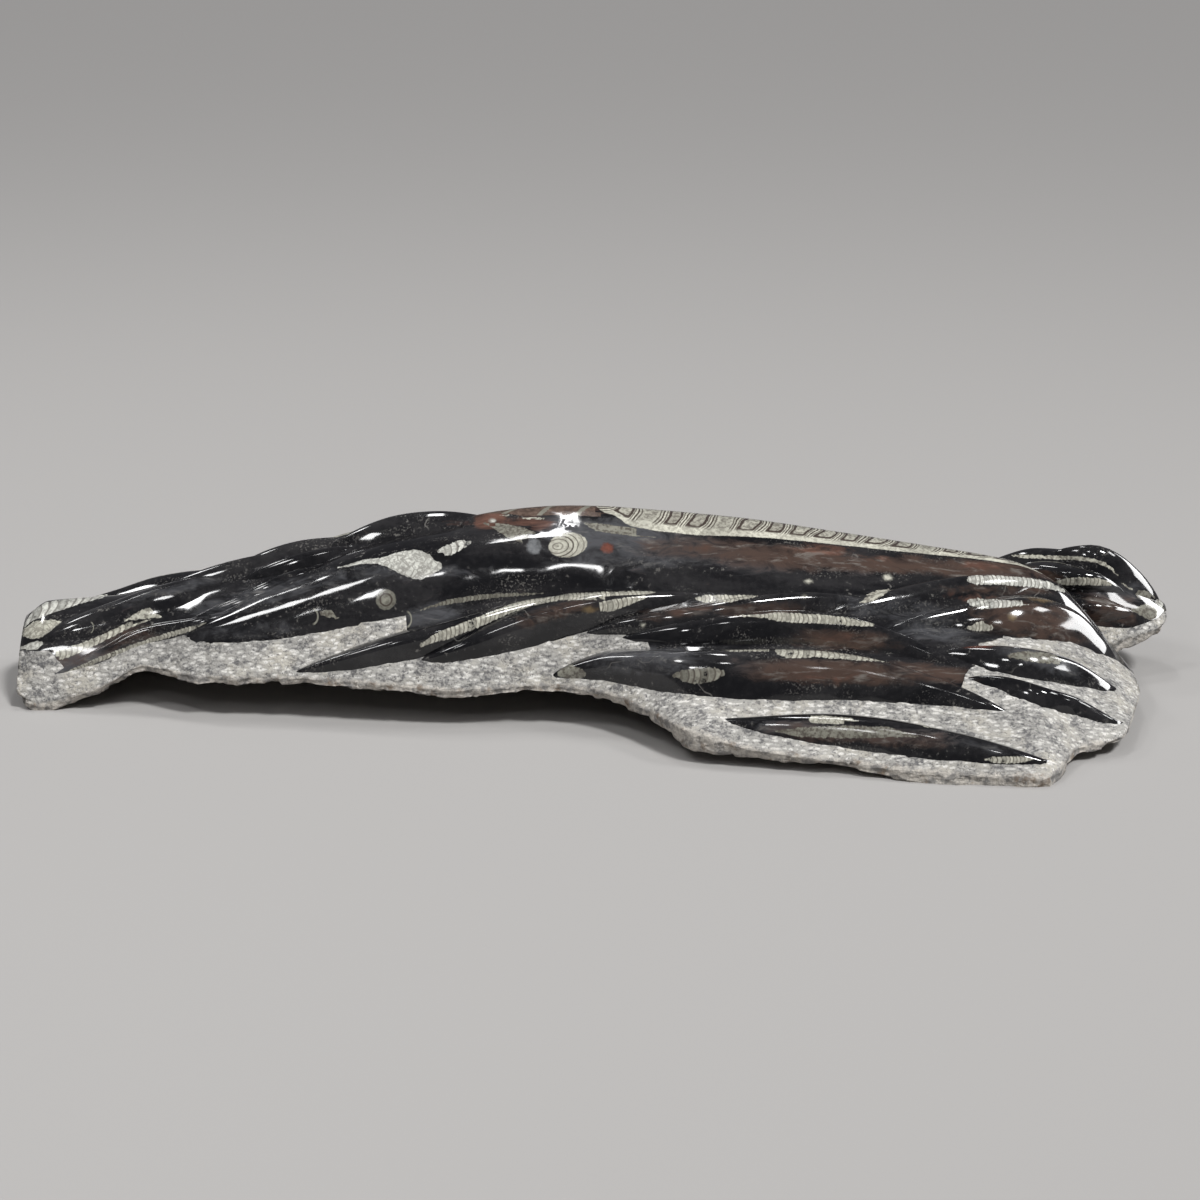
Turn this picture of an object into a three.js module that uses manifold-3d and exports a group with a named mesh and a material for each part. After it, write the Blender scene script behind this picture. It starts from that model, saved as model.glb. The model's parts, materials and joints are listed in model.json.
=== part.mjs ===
// Orthoceras fossil plate: one long arched slab of dark limestone. Its fossil cones are carved in high
// relief out of a rough matrix, and it lies on its broken back, standing on a few broken high spots.
// Millimetres. +X along the slab, +Y away from the carved front slope, +Z up, origin under the middle.
import * as THREE from "three";
import { mergeVertices } from "three/addons/utils/BufferGeometryUtils.js";
import Module from "manifold-3d";

// Driving dimensions.
const SIZE = new THREE.Vector3(800, 320, 128);
const ARCH = 13;           // how far the hollow of the back rises above the line between its edges
const CHIP = 2.2;          // how far the broken edges wander in and out
const CONE_SINK = 3;       // how deep the skirt of every carved cone starts below the matrix
const CONE_KEEL = 6;       // how much deeper its hidden underside reaches

// Fineness of the facets.
const SLAB_STEPS = 60;
const LOBE_STEPS = 12;
const BAND_STEPS = 3;      // facets between two neighbouring points of a rib's top
const CONE_STEPS = 12;
const CONE_SIDES = 6;

// A rib is one cross-section of the slab at a place x. Its points are [y, z] pairs: front edge, front
// lip, front knee, ridge, back knee, back lip, back edge. An edge below zero becomes a foot.
const SLAB_RIBS = [
  { x: -400, at: [[-2, 9], [-4, 12], [20, 36], [50, 49], [78, 36], [98, 20], [96, 10]] },
  { x: -385, at: [[-7, -3], [-9, 4], [14, 40], [52, 58], [86, 42], [110, 19], [108, 2]] },
  { x: -340, at: [[-6, 13], [-8, 17], [16, 46], [55, 60], [92, 48], [118, 22], [116, -3]] },
  { x: -312, at: [[-4, 26], [-6, 31], [18, 52], [55, 66], [94, 54], [122, 24], [120, 4]] },
  { x: -270, at: [[-24, 24], [-25, 29], [8, 58], [55, 77], [96, 60], [126, 26], [124, 8]] },
  { x: -200, at: [[-32, 26], [-33, 31], [6, 68], [55, 95], [98, 70], [132, 28], [130, 10]] },
  { x: -135, at: [[-42, 25], [-43, 29], [0, 74], [55, 110], [100, 80], [136, 30], [134, 8]] },
  { x: -100, at: [[-46, 20], [-47, 27], [-2, 74], [55, 112], [102, 82], [138, 30], [136, 4]] },
  { x: -40, at: [[-42, 25], [-43, 29], [0, 74], [55, 112], [104, 82], [142, 30], [140, -3]] },
  { x: 0, at: [[-50, 22], [-52, 28], [-4, 72], [55, 110], [106, 80], [144, 30], [142, -3]] },
  { x: 30, at: [[-78, 18], [-80, 25], [-12, 68], [55, 107], [108, 78], [146, 28], [144, 2]] },
  { x: 60, at: [[-110, 9], [-114, 22], [-24, 64], [55, 104], [110, 76], [150, 28], [148, -3]] },
  { x: 100, at: [[-123, 6], [-127, 14], [-34, 60], [55, 100], [112, 72], [154, 26], [152, -3]] },
  { x: 160, at: [[-135, 4], [-137, 9], [-44, 56], [56, 92], [114, 68], [158, 24], [156, -3]] },
  { x: 225, at: [[-151, -3], [-152, 7], [-54, 50], [58, 84], [116, 62], [158, 22], [156, -3]] },
  { x: 284, at: [[-156, -3], [-157, 7], [-64, 43], [55, 78], [110, 58], [152, 24], [150, 4]] },
  { x: 314, at: [[-110, 5], [-111, 11], [-52, 36], [50, 68], [98, 50], [130, 26], [128, 12]] },
  { x: 342, at: [[-97, 8], [-98, 13], [-46, 27], [36, 46], [70, 36], [90, 24], [88, 16]] },
  { x: 367, at: [[-21, 13], [-20, 16], [-6, 20], [12, 21], [24, 20], [32, 18], [31, 15]] },
];

// The second tongue of rock that reaches out behind the right-hand end.
const LOBE_RIBS = [
  { x: 266, at: [[70, 25], [70, 30], [80, 52], [96, 70], [118, 58], [140, 30], [138, 8]] },
  { x: 310, at: [[60, 20], [58, 27], [72, 56], [96, 83], [120, 64], [142, 28], [140, 6]] },
  { x: 345, at: [[48, 18], [45, 26], [62, 56], [92, 81], [118, 60], [138, 28], [136, 12]] },
  { x: 375, at: [[57, 24], [56, 31], [68, 51], [92, 64], [112, 52], [126, 32], [124, 22]] },
  { x: 392, at: [[66, 30], [65, 35], [74, 46], [90, 52], [106, 46], [114, 36], [112, 28]] },
  { x: 400, at: [[74, 37], [74, 40], [80, 44], [88, 46], [98, 43], [102, 39], [100, 35]] },
];

// A cone lies on the rock from one tip to the other. A tip is [x, place across the ribs], where 0 is the
// front lip, 1 the front knee, 2 the ridge, 3 the back knee and 4 the back lip. half and rise are its
// half width and height; bow bends it, skew shifts its widest place and blunt fills out its ends.
const SLAB_CONES = {
  great_right: { from: [-98, 2.0], to: [356, 1.98], half: 50, rise: 19, skew: 0.72, blunt: 0.5 },
  great_left: { from: [-290, 0.74], to: [150, 1.8], half: 40, rise: 17, bow: 0.22, skew: 0.85, blunt: 0.7 },
  left_crest: { from: [-196, 1.9], to: [-58, 2.2], half: 17, rise: 12 },
  slope_1: { from: [-212, 0.06], to: [-10, 1.12], half: 13, rise: 14 },
  slope_2: { from: [-126, 0.3], to: [72, 1.36], half: 18, rise: 17 },
  slope_3: { from: [-16, 0.62], to: [194, 1.46], half: 15, rise: 16, bow: 0.14 },
  apron_1: { from: [8, 0.64], to: [246, 0.95], half: 17, rise: 17, bow: 0.33 },
  apron_2: { from: [-38, 0.1], to: [270, 0.62], half: 24, rise: 22, bow: 0.32 },
  apron_3: { from: [74, 0.2], to: [296, 0.14], half: 17, rise: 15, bow: 0.1 },
  right_1: { from: [138, 1.22], to: [336, 2.02], half: 16, rise: 14 },
  right_2: { from: [186, 1.2], to: [342, 1.82], half: 12, rise: 12 },
  right_3: { from: [228, 1.36], to: [358, 1.66], half: 24, rise: 18 },
  right_4: { from: [226, 1.1], to: [352, 1.05], half: 18, rise: 14, bow: 0.03 },
  right_5: { from: [238, 0.88], to: [351, 0.22], half: 11, rise: 11, bow: 0.22 },
  left_1: { from: [-394, 1.0], to: [-240, 1.85], half: 20, rise: 12, bow: 0.1 },
  left_2: { from: [-382, 0.42], to: [-222, 1.22], half: 9, rise: 9 },
  left_3: { from: [-328, 1.72], to: [-200, 2.0], half: 12, rise: 11 },
  left_4: { from: [-285, 1.05], to: [-200, 1.4], half: 9, rise: 9 },
  left_5: { from: [-262, 1.25], to: [-170, 1.6], half: 10, rise: 9 },
  left_6: { from: [-255, 1.62], to: [-165, 1.8], half: 9, rise: 9 },
  left_7: { from: [-262, 2.0], to: [-170, 2.15], half: 12, rise: 10 },
  left_8: { from: [-282, 0.82], to: [-192, 1.22], half: 8, rise: 9 },
  back_1: { from: [-372, 2.7], to: [-230, 2.9], half: 15, rise: 11 },
  back_2: { from: [-290, 3.3], to: [-120, 2.9], half: 17, rise: 13 },
  back_3: { from: [-240, 2.5], to: [-60, 2.7], half: 16, rise: 13 },
  back_4: { from: [-130, 3.5], to: [60, 3.0], half: 17, rise: 14 },
  back_5: { from: [0, 3.45], to: [190, 3.25], half: 17, rise: 14 },
  back_6: { from: [90, 2.95], to: [280, 2.8], half: 16, rise: 13 },
  back_7: { from: [150, 3.6], to: [290, 3.3], half: 13, rise: 11 },
};

const LOBE_CONES = {
  lobe_1: { from: [282, 1.5], to: [372, 1.3], half: 13, rise: 13 },
  lobe_2: { from: [298, 0.95], to: [378, 0.75], half: 12, rise: 11 },
  lobe_3: { from: [318, 1.9], to: [403, 1.7], half: 15, rise: 15 },
  lobe_4: { from: [280, 2.6], to: [390, 2.9], half: 12, rise: 11 },
};

const mix = (a, b, t) => a + (b - a) * t;

// Broken stone: a few waves of unlike length, one phase for each edge that they roughen.
function chip(x, phase) {
  const slow = Math.sin(x * 0.051 + phase);
  const quick = Math.sin(x * 0.127 + 2.3 * phase);
  const fast = Math.sin(x * 0.243 + 1.1 * phase);
  return CHIP * (0.5 * slow + 0.3 * quick + 0.2 * fast);
}

// The slope of a smooth line that never overshoots between its points.
function gentleSlope(before, after) {
  return before * after <= 0 ? 0 : (2 * before * after) / (before + after);
}

// The numbers at x of a smooth line through rows of numbers that stand at the places xs.
function smoothRow(xs, rows, x) {
  const last = xs.length - 1;
  let i = 0;
  while (i < last - 1 && x > xs[i + 1]) i += 1;
  const gap = (k) => xs[k + 1] - xs[k];
  const rate = (k, c) => (rows[k + 1][c] - rows[k][c]) / gap(k);
  const slope = (k, c) => {
    if (k === 0) return rate(0, c);
    if (k === last) return rate(last - 1, c);
    return gentleSlope(rate(k - 1, c), rate(k, c));
  };
  const t = THREE.MathUtils.clamp((x - xs[i]) / gap(i), 0, 1);
  const start = (1 + 2 * t) * (1 - t) ** 2;
  const leave = t * (1 - t) ** 2 * gap(i);
  const arrive = t * t * (t - 1) * gap(i);
  return rows[i].map((value, c) =>
    start * value + (1 - start) * rows[i + 1][c] + leave * slope(i, c) + arrive * slope(i + 1, c));
}

// A body of rock that is lofted over its ribs.
function makeRock(ribs, steps) {
  const xs = ribs.map((rib) => rib.x);
  const rows = ribs.map((rib) => rib.at.flat());
  const first = xs[0];
  const last = xs[xs.length - 1];

  function rib(x) {
    const row = smoothRow(xs, rows, x);
    const points = [];
    for (let k = 0; k < row.length; k += 2) points.push([row[k], row[k + 1]]);
    return points;
  }

  // The point of the top at x and across, a cubic through the rib's five upper points.
  function top(x, across) {
    const upper = rib(x).slice(1, 6);
    const beyond = (end, inner) => [2 * end[0] - inner[0], 2 * end[1] - inner[1]];
    const line = [beyond(upper[0], upper[1]), ...upper, beyond(upper[4], upper[3])];
    const i = THREE.MathUtils.clamp(Math.floor(across), 0, 3);
    const t = across - i;
    const [a, b, c, d] = line.slice(i, i + 4);
    const cubic = (k) =>
      0.5 * (2 * b[k] + (c[k] - a[k]) * t + (2 * a[k] - 5 * b[k] + 4 * c[k] - d[k]) * t ** 2
        + (3 * b[k] - a[k] - 3 * c[k] + d[k]) * t ** 3);
    return new THREE.Vector3(x, cubic(0), cubic(1));
  }

  // One closed loop round the body: over the top from the front, then back along the hollow underside.
  function loop(x) {
    const [frontEdge, , , , , , backEdge] = rib(x);
    const middle = Math.sin(Math.PI * (x - first) / (last - first));
    const points = [new THREE.Vector3(x, frontEdge[0] + chip(x, 1), frontEdge[1])];
    for (let k = 0; k <= 4 * BAND_STEPS; k += 1) points.push(top(x, k / BAND_STEPS));
    points[1].y += 0.6 * chip(x, 2);
    points[points.length - 1].y += chip(x, 3);
    points.push(new THREE.Vector3(x, backEdge[0] + chip(x, 4), backEdge[1]));
    for (const [across, hollow] of [[0.88, 0], [0.7, 0.8], [0.45, 1], [0.25, 0.8], [0.12, 0]]) {
      const y = mix(frontEdge[0], backEdge[0], across);
      const lift = ARCH * hollow * Math.sqrt(middle) + 1.5 * hollow * chip(x, 5 + across);
      points.push(new THREE.Vector3(x, y, mix(frontEdge[1], backEdge[1], across) + lift));
    }
    return points;
  }

  const loops = [];
  for (let k = 0; k <= steps; k += 1) loops.push(loop(mix(first, last, k / steps)));
  return { top, solid: solidOfLoops(loops) };
}

// A closed solid through equal loops of points; its two ends are fans round the middles of the end loops.
function solidOfLoops(loops) {
  const around = loops[0].length;
  const points = loops.flat();
  const faces = [];
  for (let i = 0; i + 1 < loops.length; i += 1) {
    for (let j = 0; j < around; j += 1) {
      const a = i * around + j;
      const b = i * around + (j + 1) % around;
      faces.push(a, a + around, b, b, a + around, b + around);
    }
  }
  const middleOf = (loop) => loop.reduce((sum, p) => sum.add(p), new THREE.Vector3()).divideScalar(around);
  const start = points.push(middleOf(loops[0])) - 1;
  const end = points.push(middleOf(loops[loops.length - 1])) - 1;
  const endLoop = (loops.length - 1) * around;
  for (let j = 0; j < around; j += 1) {
    const next = (j + 1) % around;
    faces.push(start, j, next);
    faces.push(end, endLoop + next, endLoop + j);
  }
  return toManifold(points, faces);
}

// A carved cone: a lens-shaped ridge that hugs the rock, with its skirt and keel sunk into it.
function makeCone(top, { from, to, half, rise, bow = 0, skew = 1, blunt = 0.7 }) {
  const taper = (t) => Math.sin(Math.PI * t ** skew) ** blunt;
  const loops = [];
  for (let k = 0; k <= CONE_STEPS; k += 1) {
    const t = (1 - Math.cos(Math.PI * mix(0.05, 0.95, k / CONE_STEPS))) / 2;
    const x = mix(from[0], to[0], t);
    const across = mix(from[1], to[1], t) + 4 * bow * t * (1 - t);
    const along = top(x + 1, across).sub(top(x - 1, across)).divideScalar(2);
    const over = top(x, across + 0.02).sub(top(x, across - 0.02)).divideScalar(0.04);
    const up = along.clone().cross(over).normalize();
    const axis = along.clone().multiplyScalar(to[0] - from[0]);
    axis.addScaledVector(over, to[1] - from[1] + 4 * bow * (1 - 2 * t)).normalize();
    const side = up.clone().cross(axis);
    const [ee, ff, gg] = [along.dot(along), along.dot(over), over.dot(over)];
    const [ss, oo] = [side.dot(along), side.dot(over)];
    const sideX = (ss * gg - oo * ff) / (ee * gg - ff * ff);
    const sideAcross = (oo * ee - ss * ff) / (ee * gg - ff * ff);
    const size = taper(t);
    const place = (s, height) => {
      const reach = s * half * size;
      return top(x + sideX * reach, across + sideAcross * reach).addScaledVector(up, height);
    };
    const loop = [];
    for (let j = 0; j <= CONE_SIDES; j += 1) {
      const s = Math.sin((Math.PI / 2) * (2 * j / CONE_SIDES - 1));
      loop.push(place(s, rise * size * (1 - Math.abs(s) ** 1.7) - CONE_SINK));
    }
    loop.push(place(0, -CONE_SINK - CONE_KEEL * size));
    loops.push(loop);
  }
  return solidOfLoops(loops);
}

const wasm = await Module();
wasm.setup();

function toManifold(points, faces) {
  const vertProperties = new Float32Array(points.flatMap((p) => [p.x, p.y, p.z]));
  return new wasm.Manifold(new wasm.Mesh({ numProp: 3, vertProperties, triVerts: new Uint32Array(faces) }));
}

// A three.js geometry as a solid, with only its positions kept so that the corners merge.
function geometryToManifold(geometry) {
  geometry.deleteAttribute("normal");
  geometry.deleteAttribute("uv");
  const merged = mergeVertices(geometry);
  const mesh = new wasm.Mesh({
    numProp: 3,
    vertProperties: merged.attributes.position.array,
    triVerts: new Uint32Array(merged.index.array),
  });
  return new wasm.Manifold(mesh);
}

function toGeometry(solid) {
  const mesh = solid.getMesh();
  const geometry = new THREE.BufferGeometry();
  geometry.setAttribute("position", new THREE.BufferAttribute(mesh.vertProperties, 3));
  geometry.setIndex(new THREE.BufferAttribute(mesh.triVerts, 1));
  geometry.computeBoundingBox();
  return geometry;
}

function carveStone() {
  const slab = makeRock(SLAB_RIBS, SLAB_STEPS);
  const lobe = makeRock(LOBE_RIBS, LOBE_STEPS);
  let stone = slab.solid.add(lobe.solid);
  for (const shape of Object.values(SLAB_CONES)) stone = stone.add(makeCone(slab.top, shape));
  for (const shape of Object.values(LOBE_CONES)) stone = stone.add(makeCone(lobe.top, shape));
  const ground = new THREE.BoxGeometry(2 * SIZE.x, 2 * SIZE.y, SIZE.z).translate(0, 0, -SIZE.z / 2);
  return stone.subtract(geometryToManifold(ground));
}

// The stone brought to its outer size, standing at z = 0 round the middle of its outline.
function fitToSize(geometry) {
  const box = geometry.boundingBox;
  const middle = box.getCenter(new THREE.Vector3());
  const scale = SIZE.clone().divide(box.getSize(new THREE.Vector3()));
  geometry.translate(-middle.x, -middle.y, -box.min.z).scale(scale.x, scale.y, scale.z);
  geometry.computeVertexNormals();
  return geometry;
}

const geometry = fitToSize(toGeometry(carveStone()));

const stoneMaterial = new THREE.MeshStandardMaterial({ color: 0x2b2a29, roughness: 0.25, metalness: 0 });
const plate = new THREE.Mesh(geometry, stoneMaterial);
plate.name = "fossil_plate";

const group = new THREE.Group();
group.add(plate);
export default group;
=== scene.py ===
# %% [markdown]
# # An orthoceras fossil plate
#
# The real thing is one long slab of dark limestone, about 0.8 m long. Somebody cut into it with a hammer and
# a bush chisel, left the fossil shells standing as long lens-shaped ridges, and polished only those. So there
# are two finishes that meet at sharp creases: black mirror-like cones, and a pale rough matrix between them.
# It is one stone, so it ends up here as one mesh that stands for the one solid of the frame.
#
# The lesson plans the plain slab, grows the cones on it with Geometry Nodes, breaks the slab's edges, melts
# all of it into one body, and then paints the fossils' chamber walls with a material that follows each cone.

# %% Load the frame
import json
import math

import bmesh
import bpy
import numpy as np
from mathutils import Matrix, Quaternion, Vector, kdtree, noise

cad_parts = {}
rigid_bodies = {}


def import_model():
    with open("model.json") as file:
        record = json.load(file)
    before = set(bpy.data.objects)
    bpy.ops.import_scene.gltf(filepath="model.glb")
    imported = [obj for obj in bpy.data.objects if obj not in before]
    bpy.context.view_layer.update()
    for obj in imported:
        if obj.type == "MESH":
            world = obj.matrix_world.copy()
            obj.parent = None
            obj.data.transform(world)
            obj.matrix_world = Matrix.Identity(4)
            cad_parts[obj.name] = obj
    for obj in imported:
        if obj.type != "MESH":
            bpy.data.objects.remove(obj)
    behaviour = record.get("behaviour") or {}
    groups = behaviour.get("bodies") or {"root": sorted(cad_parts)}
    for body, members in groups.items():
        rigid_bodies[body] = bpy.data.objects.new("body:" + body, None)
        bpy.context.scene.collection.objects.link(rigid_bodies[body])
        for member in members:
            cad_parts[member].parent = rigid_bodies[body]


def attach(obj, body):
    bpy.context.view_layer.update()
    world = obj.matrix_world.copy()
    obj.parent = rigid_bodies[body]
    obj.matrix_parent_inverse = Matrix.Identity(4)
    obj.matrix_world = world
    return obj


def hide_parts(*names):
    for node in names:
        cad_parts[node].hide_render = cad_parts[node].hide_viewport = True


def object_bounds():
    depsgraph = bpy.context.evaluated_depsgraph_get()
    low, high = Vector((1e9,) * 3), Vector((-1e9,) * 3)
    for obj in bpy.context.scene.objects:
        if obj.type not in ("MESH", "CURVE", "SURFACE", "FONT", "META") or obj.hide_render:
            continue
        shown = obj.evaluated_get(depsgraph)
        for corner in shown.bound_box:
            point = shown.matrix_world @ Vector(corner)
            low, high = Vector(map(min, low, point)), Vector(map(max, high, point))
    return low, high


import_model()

CAD_LOW, CAD_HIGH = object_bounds()
MM = 0.001
print("frame box in mm", [round((high - low) / MM, 1) for low, high in zip(CAD_LOW, CAD_HIGH)])

# %% [markdown]
# ## Camera
#
# A long lens, 2.2 m away and 17 degrees above the table, looks along +Y. A long lens keeps the far ridge and
# the near apron at nearly the same scale. The aim point is a little over half the stone's height.

# %% Camera
CAMERA_DISTANCE = 2200 * MM
CAMERA_TILT = math.radians(17)
CAMERA_VIEW = math.radians(21)
SENSOR_WIDTH = 36
SIGHT = 50                 # metres that the camera sees
AIM = Vector((0, 0, 76.75 * MM))


def show(obj):
    """Puts an object into the scene."""
    bpy.context.scene.collection.objects.link(obj)


def make_camera():
    data = bpy.data.cameras.new("camera")
    data.sensor_width = SENSOR_WIDTH
    data.angle = CAMERA_VIEW
    data.clip_end = SIGHT
    camera = bpy.data.objects.new("camera", data)
    away = Vector((0, -math.cos(CAMERA_TILT), math.sin(CAMERA_TILT)))
    camera.location = AIM + away * CAMERA_DISTANCE
    camera.rotation_euler = (math.pi / 2 - CAMERA_TILT, 0, 0)
    show(camera)
    bpy.context.scene.camera = camera
    return camera


camera = make_camera()
print("lens in mm", round(camera.data.lens, 1))

# %% [markdown]
# ## The slab's ribs
#
# A mason would describe this slab by its cross-sections. Each rib below is one of them, at a place x along
# the slab, with seven [y, z] points in millimetres: front edge, front lip, front knee, ridge, back knee, back
# lip and back edge. Smooth curves run through the same point of all the ribs, and a second set of ribs makes
# the tongue of rock that reaches out behind the right-hand end. These are the sizes of the frame's own solid.

# %% Ribs
SLAB_RIBS = {
    -400: [(-2, 9), (-4, 12), (20, 36), (50, 49), (78, 36), (98, 20), (96, 10)],
    -385: [(-7, -3), (-9, 4), (14, 40), (52, 58), (86, 42), (110, 19), (108, 2)],
    -340: [(-6, 13), (-8, 17), (16, 46), (55, 60), (92, 48), (118, 22), (116, -3)],
    -312: [(-4, 26), (-6, 31), (18, 52), (55, 66), (94, 54), (122, 24), (120, 4)],
    -270: [(-24, 24), (-25, 29), (8, 58), (55, 77), (96, 60), (126, 26), (124, 8)],
    -200: [(-32, 26), (-33, 31), (6, 68), (55, 95), (98, 70), (132, 28), (130, 10)],
    -135: [(-42, 25), (-43, 29), (0, 74), (55, 110), (100, 80), (136, 30), (134, 8)],
    -100: [(-46, 20), (-47, 27), (-2, 74), (55, 112), (102, 82), (138, 30), (136, 4)],
    -40: [(-42, 25), (-43, 29), (0, 74), (55, 112), (104, 82), (142, 30), (140, -3)],
    0: [(-50, 22), (-52, 28), (-4, 72), (55, 110), (106, 80), (144, 30), (142, -3)],
    30: [(-78, 18), (-80, 25), (-12, 68), (55, 107), (108, 78), (146, 28), (144, 2)],
    60: [(-110, 9), (-114, 22), (-24, 64), (55, 104), (110, 76), (150, 28), (148, -3)],
    100: [(-123, 6), (-127, 14), (-34, 60), (55, 100), (112, 72), (154, 26), (152, -3)],
    160: [(-135, 4), (-137, 9), (-44, 56), (56, 92), (114, 68), (158, 24), (156, -3)],
    225: [(-151, -3), (-152, 7), (-54, 50), (58, 84), (116, 62), (158, 22), (156, -3)],
    284: [(-156, -3), (-157, 7), (-64, 43), (55, 78), (110, 58), (152, 24), (150, 4)],
    314: [(-110, 5), (-111, 11), (-52, 36), (50, 68), (98, 50), (130, 26), (128, 12)],
    342: [(-97, 8), (-98, 13), (-46, 27), (36, 46), (70, 36), (90, 24), (88, 16)],
    367: [(-21, 13), (-20, 16), (-6, 20), (12, 21), (24, 20), (32, 18), (31, 15)],
}
TONGUE_RIBS = {
    266: [(70, 25), (70, 30), (80, 52), (96, 70), (118, 58), (140, 30), (138, 8)],
    310: [(60, 20), (58, 27), (72, 56), (96, 83), (120, 64), (142, 28), (140, 6)],
    345: [(48, 18), (45, 26), (62, 56), (92, 81), (118, 60), (138, 28), (136, 12)],
    375: [(57, 24), (56, 31), (68, 51), (92, 64), (112, 52), (126, 32), (124, 22)],
    392: [(66, 30), (65, 35), (74, 46), (90, 52), (106, 46), (114, 36), (112, 28)],
    400: [(74, 37), (74, 40), (80, 44), (88, 46), (98, 43), (102, 39), (100, 35)],
}
ARCH = 13          # how far the hollow of the back rises
CHIP = 2.2         # how far the broken edges wander


class Rock:
    """A body of rock lofted over ribs. Lengths are in millimetres and every method takes whole arrays."""

    def __init__(self, ribs):
        self.x = np.array(sorted(ribs), float)
        self.start, self.length = self.x[0], self.x[-1] - self.x[0]
        self.ribs = np.array([ribs[x] for x in sorted(ribs)], float)
        gaps = np.diff(self.x)[:, None, None]
        rates = np.diff(self.ribs, axis=0) / gaps
        before, after = rates[:-1], rates[1:]
        total = np.where(before * after > 0, before + after, 1)
        gentle = np.where(before * after > 0, 2 * before * after / total, 0)
        self.slopes = np.concatenate([rates[:1], gentle, rates[-1:]])

    def rib(self, x):
        """The seven [y, z] points at each x: a curve that never overshoots between two ribs."""
        i = np.clip(np.searchsorted(self.x, x, side="right") - 1, 0, len(self.x) - 2)
        gap = (self.x[i + 1] - self.x[i])[:, None, None]
        t = np.clip((x - self.x[i])[:, None, None] / gap, 0, 1)
        start = (1 + 2 * t) * (1 - t) ** 2
        bend = t * (1 - t) ** 2 * gap * self.slopes[i] + t * t * (t - 1) * gap * self.slopes[i + 1]
        return start * self.ribs[i] + (1 - start) * self.ribs[i + 1] + bend

    def top(self, x, across):
        """Points of the top: across runs from 0 at the front lip over 2 at the ridge to 4 at the back lip."""
        x, across = (a.ravel() for a in np.broadcast_arrays(np.asarray(x, float), across))
        upper = self.rib(x)[:, 1:6]
        before = 2 * upper[:, :1] - upper[:, 1:2]
        after = 2 * upper[:, 4:] - upper[:, 3:4]
        line = np.concatenate([before, upper, after], axis=1)
        i = np.clip(np.floor(across).astype(int), 0, 3)
        t = (across - i)[:, None]
        a, b, c, d = (line[np.arange(len(x)), i + k] for k in range(4))
        curve = (2 * b + (c - a) * t + (2 * a - 5 * b + 4 * c - d) * t ** 2
                 + (3 * b - a - 3 * c + d) * t ** 3) / 2
        return np.column_stack([x, curve])


SLAB = Rock(SLAB_RIBS)
TONGUE = Rock(TONGUE_RIBS)
print("slab from x", SLAB.x[0], "to", SLAB.x[-1], "mm; tongue from", TONGUE.x[0], "to", TONGUE.x[-1])

# %% [markdown]
# ## The cones, by name
#
# A cone lies on the rock from one tip to the other. Each tip is (x, place across the ribs); then come the
# cone's half width and height in millimetres, how far it bends across the ribs, where it is widest and how
# blunt its ends are. Naming them keeps the marks findable later: each fossil is painted on a named cone.

# %% Cones
SINK = 3           # the skirt of a cone starts this far below the matrix
KEEL = 6           # and its hidden underside reaches this much deeper
CONE_STEP = 3.0    # mm between two rows of points along a cone
FEWEST_SIDES = 14  # faces across the smallest cones
MORE_SIDES = 0.4   # more faces across for each mm of half width


def cone(start, end, half, rise, bow=0, skew=1, blunt=0.7):
    """The sizes of one cone, under the names that the node tree below gives its inputs."""
    lengths = {"Start X": start[0], "End X": end[0], "Half Width": half, "Rise": rise,
               "Sink": SINK, "Keel": KEEL}
    shares = {"Start Across": start[1], "End Across": end[1], "Bow": bow, "Skew": skew, "Blunt": blunt}
    return {**{name: length * MM for name, length in lengths.items()},
            **{name: float(share) for name, share in shares.items()},
            "Steps": int((end[0] - start[0]) / CONE_STEP), "Sides": int(FEWEST_SIDES + half * MORE_SIDES)}


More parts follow.
